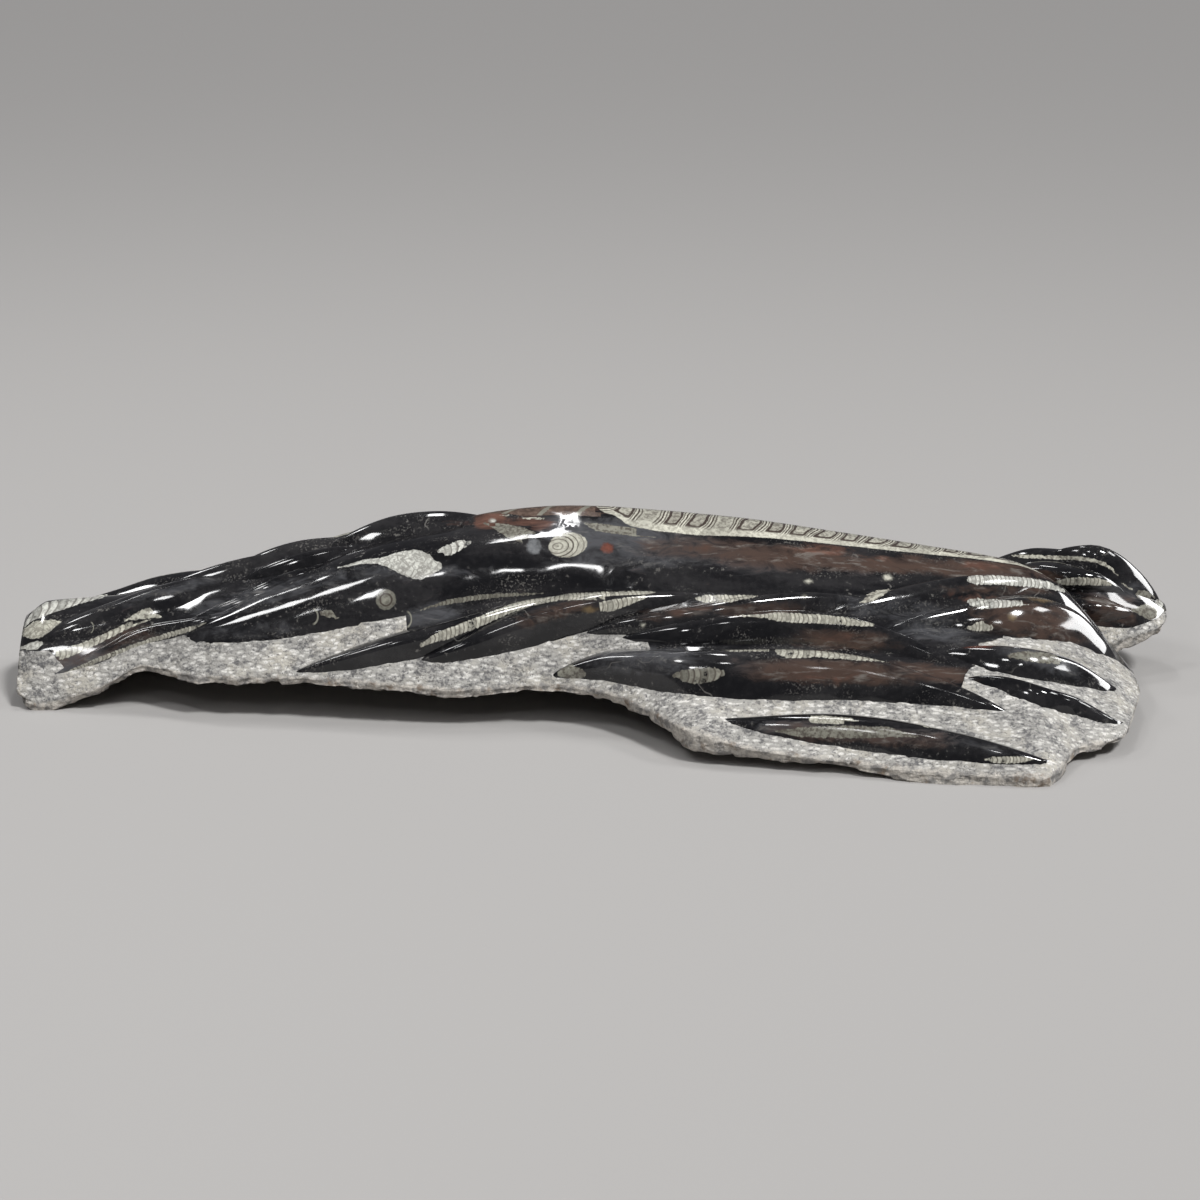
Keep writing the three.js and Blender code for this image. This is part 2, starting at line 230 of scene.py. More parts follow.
SLAB_CONES = {
    "great_right": cone((-98, 2.0), (356, 1.98), 50, 19, skew=0.72, blunt=0.5),
    "great_left": cone((-290, 0.74), (150, 1.8), 40, 17, bow=0.22, skew=0.85),
    "left_crest": cone((-196, 1.9), (-58, 2.2), 17, 12),
    "slope_1": cone((-212, 0.06), (-10, 1.12), 13, 14),
    "slope_2": cone((-126, 0.3), (72, 1.36), 18, 17),
    "slope_3": cone((-16, 0.62), (194, 1.46), 15, 16, bow=0.14),
    "apron_1": cone((8, 0.64), (246, 0.95), 17, 17, bow=0.33),
    "apron_2": cone((-38, 0.1), (270, 0.62), 24, 22, bow=0.32),
    "apron_3": cone((74, 0.2), (296, 0.14), 17, 15, bow=0.1),
    "right_1": cone((138, 1.22), (336, 2.02), 16, 14),
    "right_2": cone((186, 1.2), (342, 1.82), 12, 12),
    "right_3": cone((228, 1.36), (358, 1.66), 24, 18),
    "right_4": cone((226, 1.1), (352, 1.05), 18, 14, bow=0.03),
    "right_5": cone((238, 0.88), (351, 0.22), 11, 11, bow=0.22),
    "left_1": cone((-394, 1.0), (-240, 1.85), 20, 12, bow=0.1),
    "left_2": cone((-382, 0.42), (-222, 1.22), 9, 9),
    "left_3": cone((-328, 1.72), (-200, 2.0), 12, 11),
    "left_4": cone((-285, 1.05), (-200, 1.4), 9, 9),
    "left_5": cone((-262, 1.25), (-170, 1.6), 10, 9),
    "left_6": cone((-255, 1.62), (-165, 1.8), 9, 9),
    "left_7": cone((-262, 2.0), (-170, 2.15), 12, 10),
    "left_8": cone((-282, 0.82), (-192, 1.22), 8, 9),
    "back_1": cone((-372, 2.7), (-230, 2.9), 15, 11),
    "back_2": cone((-290, 3.3), (-120, 2.9), 17, 13),
    "back_3": cone((-240, 2.5), (-60, 2.7), 16, 13),
    "back_4": cone((-130, 3.5), (60, 3.0), 17, 14),
    "back_5": cone((0, 3.45), (190, 3.25), 17, 14),
    "back_6": cone((90, 2.95), (280, 2.8), 16, 13),
    "back_7": cone((150, 3.6), (290, 3.3), 13, 11),
}
TONGUE_CONES = {
    "tongue_1": cone((282, 1.5), (372, 1.3), 13, 13),
    "tongue_2": cone((298, 0.95), (378, 0.75), 12, 11),
    "tongue_3": cone((318, 1.9), (399, 1.7), 15, 15),
    "tongue_4": cone((280, 2.6), (390, 2.9), 12, 11),
}
CONE_NAMES = [*SLAB_CONES, *TONGUE_CONES]
print(len(CONE_NAMES), "cones")

# %% [markdown]
# ## A notation for node trees
#
# A node tree drawn by mouse is hard to read in a script. Wrapping each socket in a small class lets Python's
# own operators add the Math nodes, so a taper or a mask is written as the formula that it is. Everything that
# isn't plain arithmetic goes through one method, which takes the node's type, its settings and its sockets.

# %% Wires


def both_ways(operation):
    """The two methods of an operator: wire first, and its reflected form with the wire last."""
    return (lambda self, other: self.math(operation, self, other),
            lambda self, other: self.math(operation, other, self))


class Wire:
    """One output socket of a node tree. Arithmetic on wires adds Math nodes."""

    def __init__(self, tree, socket):
        self.tree = tree
        self.socket = socket

    def node(self, kind, settings=None, sockets=None, output=0):
        return add_node(self.tree, kind, settings, sockets, output)

    def math(self, operation, *values):
        return self.node("ShaderNodeMath", {"operation": operation}, dict(enumerate(values)))

    __add__, __radd__ = both_ways("ADD")
    __sub__, __rsub__ = both_ways("SUBTRACT")
    __mul__, __rmul__ = both_ways("MULTIPLY")
    __truediv__, __rtruediv__ = both_ways("DIVIDE")
    __pow__, __rpow__ = both_ways("POWER")

    def __neg__(self):
        return self.math("MULTIPLY", self, -1)

    def __abs__(self):
        return self.math("ABSOLUTE", self)

    def sine(self):
        return self.math("SINE", self)

    def cosine(self):
        return self.math("COSINE", self)

    def within(self, low, high):
        return self.node("ShaderNodeClamp", None, {0: self, 1: low, 2: high})


def add_node(tree, kind, settings=None, sockets=None, output=0):
    """Adds one node: its settings first, then the values or wires of its sockets. Returns a wire."""
    node = tree.nodes.new(kind)
    for name, value in (settings or {}).items():
        setattr(node, name, value)
    for key, value in (sockets or {}).items():
        if isinstance(value, Wire):
            tree.links.new(value.socket, node.inputs[key])
        else:
            node.inputs[key].default_value = value
    return Wire(tree, node.outputs[output])


def join(first, *others):
    """A vector out of three numbers or wires, the first of them a wire."""
    return first.node("ShaderNodeCombineXYZ", None, dict(enumerate((first, *others))))


def vector(operation, first, *others, output=0):
    values = dict(enumerate((first, *others)))
    return first.node("ShaderNodeVectorMath", {"operation": operation}, values, output)


def scaled(thing, factor):
    """A vector or a colour times a number. Either of the two may be the wire."""
    wire = factor if isinstance(factor, Wire) else thing
    return wire.node("ShaderNodeVectorMath", {"operation": "SCALE"}, {0: thing, 3: factor})


def parts_of(wire):
    return [wire.node("ShaderNodeSeparateXYZ", None, {0: wire}, k) for k in range(3)]


print("wires ready")

# %% [markdown]
# ## The smooth rock as a map
#
# A carved cone hugs the rock, so its tree must be able to ask where the rock is at any place. One way is a
# mesh of the smooth slab whose UV map holds (x, place across): Sample UV Surface then answers that question.

# %% The map of the rock
MAP_STEP = 3       # mm between two rows of the map
MAP_BANDS = 88


def make_mesh(name, points, faces):
    mesh = bpy.data.meshes.new(name)
    mesh.from_pydata(points, [], faces)
    mesh.update()
    return mesh


def grid_faces(rows, columns):
    """Quads of a grid of points that is stored row after row."""
    i = np.arange(rows - 1)[:, None] * columns + np.arange(columns - 1)
    return np.stack([i, i + columns, i + columns + 1, i + 1], axis=-1).reshape(-1, 4)


def read(items, field, size=1, kind=np.float32):
    """One number or vector of each item of a mesh's list, as an array."""
    values = np.empty(len(items) * size, kind)
    items.foreach_get(field, values)
    return values if size == 1 else values.reshape(-1, size)


def make_map(name, rock):
    rows = int(rock.length / MAP_STEP) + 1
    u = np.linspace(0, 1, rows)
    v = np.linspace(0, 1, MAP_BANDS)
    place = np.stack(np.meshgrid(u, v, indexing="ij"), axis=-1).reshape(-1, 2)
    x = rock.start + place[:, 0] * rock.length
    mesh = make_mesh(name, rock.top(x, 4 * place[:, 1]) * MM, grid_faces(rows, MAP_BANDS).tolist())
    corners = read(mesh.loops, "vertex_index", kind=int)
    mesh.uv_layers.new(name="place").data.foreach_set("uv", place[corners].ravel())
    return bpy.data.objects.new(name, mesh)


SLAB_MAP = make_map("slab_map", SLAB)
TONGUE_MAP = make_map("tongue_map", TONGUE)
print("map of the slab:", len(SLAB_MAP.data.polygons), "faces")

# %% [markdown]
# ## One tree that carves a cone
#
# All cones follow one rule, so one Geometry Nodes tree makes them and each cone only sets its inputs. A flat
# grid is bent: its length becomes the way from tip to tip, its width the way over the crown. The taper is
# sin(pi t ** skew) ** blunt and the crown 1 - |s| ** 1.7. A second grid makes the hidden keel, and the two
# are welded along the skirt so that the lens is closed. Each point also keeps its place on the cone: where
# the cone's middle line is there (its x), and how far the point lies from that line. Marks are painted by it.

# %% The cone tree
ON_CONE = "on_cone"  # point attribute: (x of the middle line, distance from it), in metres
CROWN = 1.7          # the power of a cone's rounded cross-section
WELD = 2e-6          # metres between points that are one
CONE_LENGTHS = ("First X", "Length X", "Start X", "Start Across", "End X", "End Across", "Half Width", "Rise",
                "Bow", "Skew", "Blunt", "Sink", "Keel")
CONE_INPUTS = {"Map": "Object", **dict.fromkeys(CONE_LENGTHS, "Float"),
               "Steps": "Int", "Sides": "Int", "Finish": "Material"}


def make_cone_tree():
    tree = bpy.data.node_groups.new("carved cone", "GeometryNodeTree")
    for name, kind in CONE_INPUTS.items():
        tree.interface.new_socket(name, in_out="INPUT", socket_type="NodeSocket" + kind)
    tree.interface.new_socket("Geometry", in_out="OUTPUT", socket_type="NodeSocketGeometry")
    source = tree.nodes.new("NodeGroupInput")
    given = {name: Wire(tree, source.outputs[name]) for name in CONE_INPUTS}

    rock = add_node(tree, "GeometryNodeObjectInfo", {"transform_space": "RELATIVE"}, {0: given["Map"]}, 4)
    place = add_node(tree, "GeometryNodeInputNamedAttribute", {"data_type": "FLOAT_VECTOR"}, {0: "place"})
    position = add_node(tree, "GeometryNodeInputPosition")

    def on_rock(x, across):
        u = ((x - given["First X"]) / given["Length X"]).within(0.001, 0.999)
        sample = {0: rock, 1: position, 2: place, 3: join(u, across / 4, 0)}
        return add_node(tree, "GeometryNodeSampleUVSurface", {"data_type": "FLOAT_VECTOR"}, sample)

    flat_x, flat_y, _ = parts_of(position)
    t = (1 - ((flat_x + 0.5) * math.pi).cosine()) / 2
    s = (flat_y * math.pi).sine()
    size = ((t ** given["Skew"]) * math.pi).sine() ** given["Blunt"]
    run_x = given["End X"] - given["Start X"]
    run_across = given["End Across"] - given["Start Across"]
    x = given["Start X"] + run_x * t
    across = given["Start Across"] + run_across * t + 4 * given["Bow"] * t * (1 - t)

    step_x = 2 * MM
    step_across = 0.04
    along = scaled(vector("SUBTRACT", on_rock(x + step_x, across), on_rock(x - step_x, across)), 0.5 / step_x)
    over = scaled(vector("SUBTRACT", on_rock(x, across + step_across), on_rock(x, across - step_across)),
                  0.5 / step_across)
    up = vector("NORMALIZE", vector("CROSS_PRODUCT", along, over))
    turn = run_across + 4 * given["Bow"] * (1 - 2 * t)
    axis = vector("NORMALIZE", vector("ADD", scaled(along, run_x), scaled(over, turn)))
    side = vector("CROSS_PRODUCT", up, axis)

    def dot(a, b):
        return vector("DOT_PRODUCT", a, b, output=1)

    spread = dot(along, along) * dot(over, over) - dot(along, over) ** 2
    side_x = (dot(side, along) * dot(over, over) - dot(side, over) * dot(along, over)) / spread
    side_across = (dot(side, over) * dot(along, along) - dot(side, along) * dot(along, over)) / spread
    reach = s * given["Half Width"] * size
    foot = on_rock(x + side_x * reach, across + side_across * reach)
    crown = given["Rise"] * size * (1 - abs(s) ** CROWN) - given["Sink"]
    keel = -(given["Keel"] * size * (1 - s * s)) - given["Sink"]

    def sheet(height):
        sockets = {0: 1.0, 1: 1.0, 2: given["Steps"], 3: given["Sides"]}
        grid = add_node(tree, "GeometryNodeMeshGrid", None, sockets)
        labels = {0: grid, 2: ON_CONE, 3: join(x, reach, 0)}
        kept = add_node(tree, "GeometryNodeStoreNamedAttribute", {"data_type": "FLOAT_VECTOR"}, labels)
        place_at = {0: kept, 2: vector("ADD", foot, scaled(up, height))}
        return add_node(tree, "GeometryNodeSetPosition", None, place_at)

    under = add_node(tree, "GeometryNodeFlipFaces", None, {0: sheet(keel)})
    both = tree.nodes.new("GeometryNodeJoinGeometry")
    for half in (under, sheet(crown)):
        tree.links.new(half.socket, both.inputs[0])
    weld = add_node(tree, "GeometryNodeMergeByDistance", None, {0: Wire(tree, both.outputs[0]), 2: WELD})
    smooth = add_node(tree, "GeometryNodeSetShadeSmooth", None, {0: weld})
    real = add_node(tree, "GeometryNodeRealizeInstances", None, {0: smooth})
    done = add_node(tree, "GeometryNodeSetMaterial", None, {0: real, 2: given["Finish"]})
    target = tree.nodes.new("NodeGroupOutput")
    tree.links.new(done.socket, target.inputs[0])
    return tree


CONE_TREE = make_cone_tree()
print("cone tree:", len(CONE_TREE.nodes), "nodes")

# %% [markdown]
# ## What survives a union
#
# All the bodies below end up in one mesh. A union keeps what faces and their corners carry, so that is where
# everything that the finish needs is written first: the number of the body a face came from, its place on its
# cone, and its smooth normal. The normals matter most. Where a mirror-like cone meets another body, the union
# leaves thin triangles, and averaged normals would show there as dents in the reflections.

# %% What each body carries
SOURCE = "source"              # face attribute: 0 for rock, and the cone's number from 1
NORMAL_XY = "normal_xy"        # corner attributes
NORMAL_Z = "normal_z"
ON_CONE_MM = "on_cone_mm"      # on a cone as ON_CONE; on rock (how far inside the polish, how broken)
LAYER_FIELDS = {"FLOAT2": "vector", "FLOAT_COLOR": "color", "INT": "value"}


def write_layer(mesh, name, kind, values, domain="CORNER"):
    layer = mesh.attributes.new(name, kind, domain)
    number = np.int32 if kind == "INT" else np.float32
    layer.data.foreach_set(LAYER_FIELDS[kind], values.astype(number).ravel())


def read_layer(mesh, name, size=2):
    return read(mesh.attributes[name].data, "vector", size)


def point_normals(mesh):
    return read(mesh.vertex_normals, "vector", 3)


def point_places(mesh):
    return read(mesh.vertices, "co", 3, float)


def corner_table(mesh):
    """For each corner of the faces: its face, its body's number and its point."""
    totals = read(mesh.polygons, "loop_total", kind=int)
    face = np.repeat(np.arange(len(totals)), totals)
    source = read(mesh.attributes[SOURCE].data, "value", kind=np.int32)
    return face, source[face], read(mesh.loops, "vertex_index", kind=int)


def label_body(mesh, number, normals, on_cone):
    write_layer(mesh, SOURCE, "INT", np.full(len(mesh.polygons), number), "FACE")
    corners = read(mesh.loops, "vertex_index", kind=int)
    for name, values in ((NORMAL_XY, normals[:, :2]), (NORMAL_Z, normals[:, [2, 2]]), (ON_CONE_MM, on_cone)):
        write_layer(mesh, name, "FLOAT2", values[corners])

# %% [markdown]
# ## Growing the cones
#
# Each cone starts as an empty mesh with the tree on it. The tree's inputs are set by the sockets'
# identifiers, and the result is kept as a plain mesh.

# %% Grow the cones


def set_inputs(modifier, tree, values):
    for item in tree.interface.items_tree:
        if item.item_type == "SOCKET" and item.in_out == "INPUT":
            modifier[item.identifier] = values[item.name]


def plain_mesh(obj):
    """The evaluated object's mesh, with nothing live on it."""
    graph = bpy.context.evaluated_depsgraph_get()
    evaluated = obj.evaluated_get(graph)
    return bpy.data.meshes.new_from_object(evaluated, preserve_all_data_layers=True, depsgraph=graph)


def grow_cone(number, name, shape, rock, rock_map):
    obj = bpy.data.objects.new(name, bpy.data.meshes.new(name))
    show(obj)
    modifier = obj.modifiers.new("carve", "NODES")
    modifier.node_group = CONE_TREE
    set_inputs(modifier, CONE_TREE, {
        **shape, "Map": rock_map, "Finish": polished,
        "First X": rock.start * MM, "Length X": rock.length * MM,
    })
    mesh = plain_mesh(obj)
    bpy.data.objects.remove(obj)
    on_cone = read_layer(mesh, ON_CONE, 3)[:, :2] / MM
    mesh.attributes.remove(mesh.attributes[ON_CONE])
    label_body(mesh, number, point_normals(mesh), on_cone)
    return bpy.data.objects.new(name, mesh)


polished = bpy.data.materials.new("polished_limestone")
matrix = bpy.data.materials.new("chiselled_matrix")
bodies = bpy.data.collections.new("bodies")
bpy.context.scene.collection.children.link(bodies)
for rock_map in (SLAB_MAP, TONGUE_MAP):
    show(rock_map)
number = 0
for cones, rock, rock_map in ((SLAB_CONES, SLAB, SLAB_MAP), (TONGUE_CONES, TONGUE, TONGUE_MAP)):
    for name, shape in cones.items():
        number += 1
        bodies.objects.link(grow_cone(number, name, shape, rock, rock_map))
for rock_map in (SLAB_MAP, TONGUE_MAP):
    bpy.data.objects.remove(rock_map)

# %% [markdown]
# ## Broken rock
#
# The back, the edges and the ends of the slab were split with a hammer: flat chips, each with its own height
# and tilt, that meet at ridges. One chip per Voronoi cell gives exactly that. The pale matrix between the
# cones was worked with a bush chisel instead, which leaves shallow pits a few millimetres apart. Both are
# moves of the points along their normals, so they are real in the mesh and not only in the shading.
#
# High on the slab the cones stand so close that the polisher ran over the rock between them too. Two lines
# along the slab say where that polish ends, in front and behind. They mostly run hidden below cones.

# %% Broken rock
ROCK_STEP = 2.4                      # mm between two rows of points along the slab
TOP_ROWS = (34, 34, 18, 20)          # rows from lip to knee to ridge to knee to lip
EDGE_ROWS = 4
UNDER_ROWS = 44
CAP_RINGS = 8
CAP_DISH = 1.5                       # how far an end face falls in towards its middle
CAP_SLOPE = 2.5                      # and how steeply it does so at its rim
LIP_FADE = 0.12                      # the edge's wandering fades out this far over the lips
FRONT_BROKEN = 0.1                   # the split face reaches this far over the front lip
BACK_BROKEN = 3.4                    # and over the back lip from here on
WAVES = ((0.051, 1, 0.5), (0.127, 2.3, 0.3), (0.243, 1.1, 0.2))   # of an edge: turn for each mm, phase, share
HOLLOW = [(0, 0), (0.12, 0), (0.25, 0.8), (0.45, 1), (0.7, 0.8), (0.88, 0), (1, 0)]
PIT, FLAKE, CRUMB = 7, 17, 6         # mm across a pit of the chisel, a chip of a split face and a small one
WORN_OFF, SPLIT_OFF = 0.2, 1.4       # mm that chisel and hammer took off
POLISH_FADE = 0.05                   # the chisel's pits fade out this far before the polish begins
NEVER = 9                            # a place across that no line reaches: edges and underside
SLAB_POLISH = {                      # (x, across) where the polished rock ends
    "front": [(-400, 0.92), (-378, 0.86), (-366, 0.5), (-300, 0.82), (-275, 0.8), (-140, 1.15), (-133, 1.1),
              (-130, 0.5), (-70, 0.78), (-60, 0.62), (-14, 0.86), (-8, 0.7), (10, 0.72), (30, 0.8), (38, 0.5),
              (120, 0.7), (200, 0.72), (236, 0.72), (243, 0.95), (252, 1.05), (253, 1.22), (272, 1.31),
              (276, 1.5), (350, 1.6), (367, 1.7)],
    "back": [(-400, 2.6), (-372, 2.7), (-290, 2.8), (-280, 3.25), (-126, 2.95), (-120, 3.45), (0, 3.15),
             (20, 3.42), (190, 3.3), (200, 3.5), (290, 3.3), (330, 3.0), (367, 2.5)],
}
TONGUE_POLISH = {
    "front": [(266, 0.5), (300, 0.6), (345, 0.5), (374, 0.33), (392, 0.5), (400, 0.9)],
    "back": [(266, 2.6), (390, 2.9), (400, 3.0)],
}


def chip(x, phase):
    """How far a broken edge wanders: a few waves of unlike length."""
    return CHIP * sum(share * np.sin(x * pace + phase * shift) for pace, shift, share in WAVES)


def between(a, b, rows):
    """Points on straight lines from a to b, without the two ends."""
    t = (np.arange(1, rows) / rows)[None, :, None]
    return a[:, None] * (1 - t) + b[:, None] * t


def rock_loops(rock, x):
    """Closed loops round the body at each x; how broken each place round the loop is; its place across."""
    ribs = rock.rib(x)
    front = np.column_stack([x, ribs[:, 0, 0] + chip(x, 1), ribs[:, 0, 1]])
    back = np.column_stack([x, ribs[:, 6, 0] + chip(x, 4), ribs[:, 6, 1]])
    steps = [k + np.arange(rows) / rows for k, rows in enumerate(TOP_ROWS)]
    across = np.append(np.concatenate(steps), 4.0)
    top = rock.top(np.repeat(x, len(across)), np.tile(across, len(x))).reshape(len(x), -1, 3)
    lip_fade = np.clip(1 - across / LIP_FADE, 0, 1)
    top[:, :, 1] += 0.6 * chip(x, 2)[:, None] * lip_fade
    top[:, :, 1] += chip(x, 3)[:, None] * lip_fade[::-1]
    part = np.arange(1, UNDER_ROWS) / UNDER_ROWS
    hollow = np.interp(1 - part, *zip(*HOLLOW))
    under = between(back, front, UNDER_ROWS)
    reach = (x - rock.start) / rock.length
    middle = np.sqrt(np.clip(np.sin(math.pi * reach), 0, 1))[:, None]
    under[:, :, 2] += ARCH * hollow * middle
    rows = [front[:, None], between(front, top[:, 0], EDGE_ROWS), top,
            between(top[:, -1], back, EDGE_ROWS), back[:, None], under]
    near_lip = np.clip(1 - across / FRONT_BROKEN, 0, 1)
    near_lip += np.clip((across - BACK_BROKEN) / (4 - BACK_BROKEN), 0, 1)
    broken = np.concatenate([np.ones(EDGE_ROWS), near_lip, np.ones(EDGE_ROWS - 1), np.ones(UNDER_ROWS)])
    place = np.concatenate([np.full(EDGE_ROWS, NEVER), across, np.full(EDGE_ROWS - 1 + UNDER_ROWS, NEVER)])
    return np.concatenate(rows, axis=1), broken, place


def polish_depth(x, place, polish):
    """How far inside the polished part a place is, in ways across; negative outside."""
    front = np.interp(x, *zip(*polish["front"]))[:, None]
    back = np.interp(x, *zip(*polish["back"]))[:, None]
    return np.minimum(place - front, back - place)


def rock_mesh(name, rock, polish):
    rows = int(rock.length / ROCK_STEP) + 1
    x = np.linspace(rock.x[0], rock.x[-1], rows)
    loops, broken, place = rock_loops(rock, x)
    depth = polish_depth(x, place, polish)
    around = loops.shape[1]
    ends = []
    for loop, inwards in ((loops[0], 1), (loops[-1], -1)):
        centre = loop.mean(axis=0)
        rings = []
        for k in range(1, CAP_RINGS):
            ring = centre + (loop - centre) * (1 - k / CAP_RINGS)
            ring[:, 0] += inwards * CAP_DISH * min(1, CAP_SLOPE * k / CAP_RINGS)
            rings.append(ring)
        ends.append((rings[::-1] if inwards > 0 else rings, centre + np.array([inwards * CAP_DISH, 0, 0])))
    (first_rings, first_point), (last_rings, last_point) = ends
    body = np.concatenate([np.array(first_rings), loops, np.array(last_rings)])
    cap = np.ones((CAP_RINGS - 1, around))
    weight = np.concatenate([cap, np.tile(broken, (rows, 1)), cap])
    depth = np.concatenate([-NEVER * cap, depth, -NEVER * cap])
    count = len(body)
    i = np.arange(count - 1)[:, None] * around
    j = np.arange(around)
    following = (j + 1) % around
    quads = np.stack([i + j, i + around + j, i + around + following, i + following], axis=-1)
    faces = quads.reshape(-1, 4).tolist()
    first, last = count * around, count * around + 1
    top_row = (count - 1) * around
    faces += [[first, int(a), int(b)] for a, b in zip(j, following)]
    faces += [[last, int(top_row + b), int(top_row + a)] for a, b in zip(j, following)]
    points = np.concatenate([body.reshape(-1, 3), [first_point, last_point]])
    mesh = make_mesh(name, points, faces)
    shiny = np.minimum(depth[:-1], depth[1:])
    shiny = np.minimum(shiny, shiny[:, following]) > 0
    finish = np.append(shiny.ravel(), np.zeros(2 * around, bool)).astype(np.int32)
    for material in (matrix, polished):
        mesh.materials.append(material)
    mesh.polygons.foreach_set("material_index", finish)
    return mesh, points, np.append(weight.ravel(), [1, 1]), np.append(depth.ravel(), [-NEVER, -NEVER])


def chips(point, cell):
    """Height of the flat chip at a point, about -1 to 1."""
    _, centres = noise.voronoi(point / cell)
    tilt = noise.cell_vector(centres[0] * 9.7) * 2 - Vector((1, 1, 1))
    return tilt.z * 0.6 + tilt.dot(point / cell - centres[0])


def relief(point, broken):
    """How far a point of the rock moves outwards, in mm: the chisel's pits, or the chips of a split face."""
    pits = 0.45 * chips(point, PIT) + 0.5 * noise.noise(point / 16) - WORN_OFF
    split = 1.5 * chips(point, FLAKE) + 0.5 * chips(point, CRUMB) + 0.8 * noise.noise(point / 9) - SPLIT_OFF
    return pits + (split - pits) * broken


def rough_rock(name, rock, polish):
    mesh, points, broken, depth = rock_mesh(name, rock, polish)
    roughness = np.clip(-depth / POLISH_FADE, 0, 1)
    moves = np.array([relief(Vector(p), w) for p, w in zip(points, broken)]) * roughness
    moved = (points + point_normals(mesh) * moves[:, None]) * MM
    mesh.vertices.foreach_set("co", moved.ravel())
    mesh.update()
    label_body(mesh, 0, point_normals(mesh), np.column_stack([depth.clip(-1, 1), broken]))
    return bpy.data.objects.new(name, mesh)


slab = rough_rock("slab", SLAB, SLAB_POLISH)
tongue = rough_rock("tongue", TONGUE, TONGUE_POLISH)
show(slab)
bodies.objects.link(tongue)
print("faces on the rock:", len(slab.data.polygons), "and", len(tongue.data.polygons))

# %% [markdown]
# ## One stone
#
# The rock, its tongue and all the cones become one body with a Boolean union, and a box takes off what would
# reach below the table, which leaves the worn flat spots that the stone stands on. The result is brought to
# the frame's box and gets its kept normals back, so a polished cone is smooth right up to its sharp crease.
# Where the two great cones meet there is no crease to see, because the polisher ran on over it. There the
# normals of both sides are turned into each other.

# %% Unite the stone
SOFT_SEAMS = (("great_left", "great_right"),)   # creases that the polisher ran over
SEAM_REACH = 24 * MM
GROUND_SIDE = 1.2                               # metres: the box that takes off what is below the table
GROUND_DEPTH = 0.1


def ground_box():
    corners = [(x, y, z) for z in (-GROUND_DEPTH, 0) for y in (-GROUND_SIDE, GROUND_SIDE)
               for x in (-GROUND_SIDE, GROUND_SIDE)]
    faces = [(0, 2, 3, 1), (4, 5, 7, 6), (0, 1, 5, 4), (2, 6, 7, 3), (0, 4, 6, 2), (1, 3, 7, 5)]
    mesh = make_mesh("ground", corners, faces)
    mesh.materials.append(matrix)
    down = np.tile([0, 0, -1], (len(corners), 1))
    label_body(mesh, 0, down, np.tile([-1, 1], (len(corners), 1)))
    return bpy.data.objects.new("ground", mesh)


def unite(first, others, ground):
    show(ground)
    for operation, source in (("UNION", others), ("DIFFERENCE", ground)):
        modifier = first.modifiers.new(operation.lower(), "BOOLEAN")
        modifier.solver = "MANIFOLD"
        modifier.operation = operation
        modifier.material_mode = "TRANSFER"
        if operation == "UNION":
            modifier.operand_type = "COLLECTION"
            modifier.collection = source
        else:
            modifier.object = source
    mesh = plain_mesh(first)
    for obj in [first, ground, *others.objects]:
        bpy.data.objects.remove(obj)
    bpy.data.collections.remove(others)
    return mesh


def fit(mesh, low, high):
    low, high = np.array(low), np.array(high)
    points = point_places(mesh)
    now_low, now_high = points.min(axis=0), points.max(axis=0)
    print("before fitting, mm:", ((now_high - now_low) / MM).round(1))
    share = (points - now_low) / (now_high - now_low)
    mesh.vertices.foreach_set("co", (low + share * (high - low)).ravel())
    mesh.update()


def unit(vectors):
    return vectors / np.maximum(np.linalg.norm(vectors, axis=1), 1e-6)[:, None]


def soften_seam(mesh, normals, names, reach):
    """Turns the normals of two cones into each other where they meet. Returns the number of points there."""
    _, source, point = corner_table(mesh)
    places = point_places(mesh)
    numbers = [CONE_NAMES.index(name) + 1 for name in names]
    seam = np.intersect1d(*(point[source == number] for number in numbers))
    both = np.isin(source, numbers)
    shared = np.zeros((len(places), 3))
    np.add.at(shared, point[both], normals[both])
    finder = kdtree.KDTree(len(seam))
    for k, place in enumerate(places[seam]):
        finder.insert(place, k)
    finder.balance()
    near, weight = np.zeros(len(places), int), np.zeros(len(places))
    for k in np.unique(point[both]):
        _, nearest, gap = finder.find(places[k])
        near[k], weight[k] = seam[nearest], max(0, 1 - gap / reach) ** 2
    blend = weight[point[both]][:, None]
    normals[both] = unit(normals[both] * (1 - blend) + unit(shared[near[point[both]]]) * blend)
    return len(seam)


def restore_normals(mesh):
    normals = unit(np.column_stack([read_layer(mesh, NORMAL_XY), read_layer(mesh, NORMAL_Z)[:, 0]]))
    for names in SOFT_SEAMS:
        print("points on the soft crease of", *names, ":", soften_seam(mesh, normals, names, SEAM_REACH))
    for name in (NORMAL_XY, NORMAL_Z):
        mesh.attributes.remove(mesh.attributes[name])
    mesh.shade_smooth()
    mesh.normals_split_custom_set(normals.tolist())


def drop_crumbs(mesh):
    """Takes away specks that the cuts left loose, so that the stone is one piece."""
    form = bmesh.new()
    form.from_mesh(mesh)
    waiting = set(form.verts)
    pieces = []
    while waiting:
        piece, edge_of_it = set(), [waiting.pop()]
        while edge_of_it:
            vert = edge_of_it.pop()
            piece.add(vert)
            for other in (edge.other_vert(vert) for edge in vert.link_edges):
                if other in waiting:
                    waiting.remove(other)
                    edge_of_it.append(other)
        pieces.append(piece)
    pieces.sort(key=len)
    for piece in pieces[:-1]:
        bmesh.ops.delete(form, geom=list(piece), context="VERTS")
    form.to_mesh(mesh)
    form.free()
    print("loose specks taken away:", len(pieces) - 1)


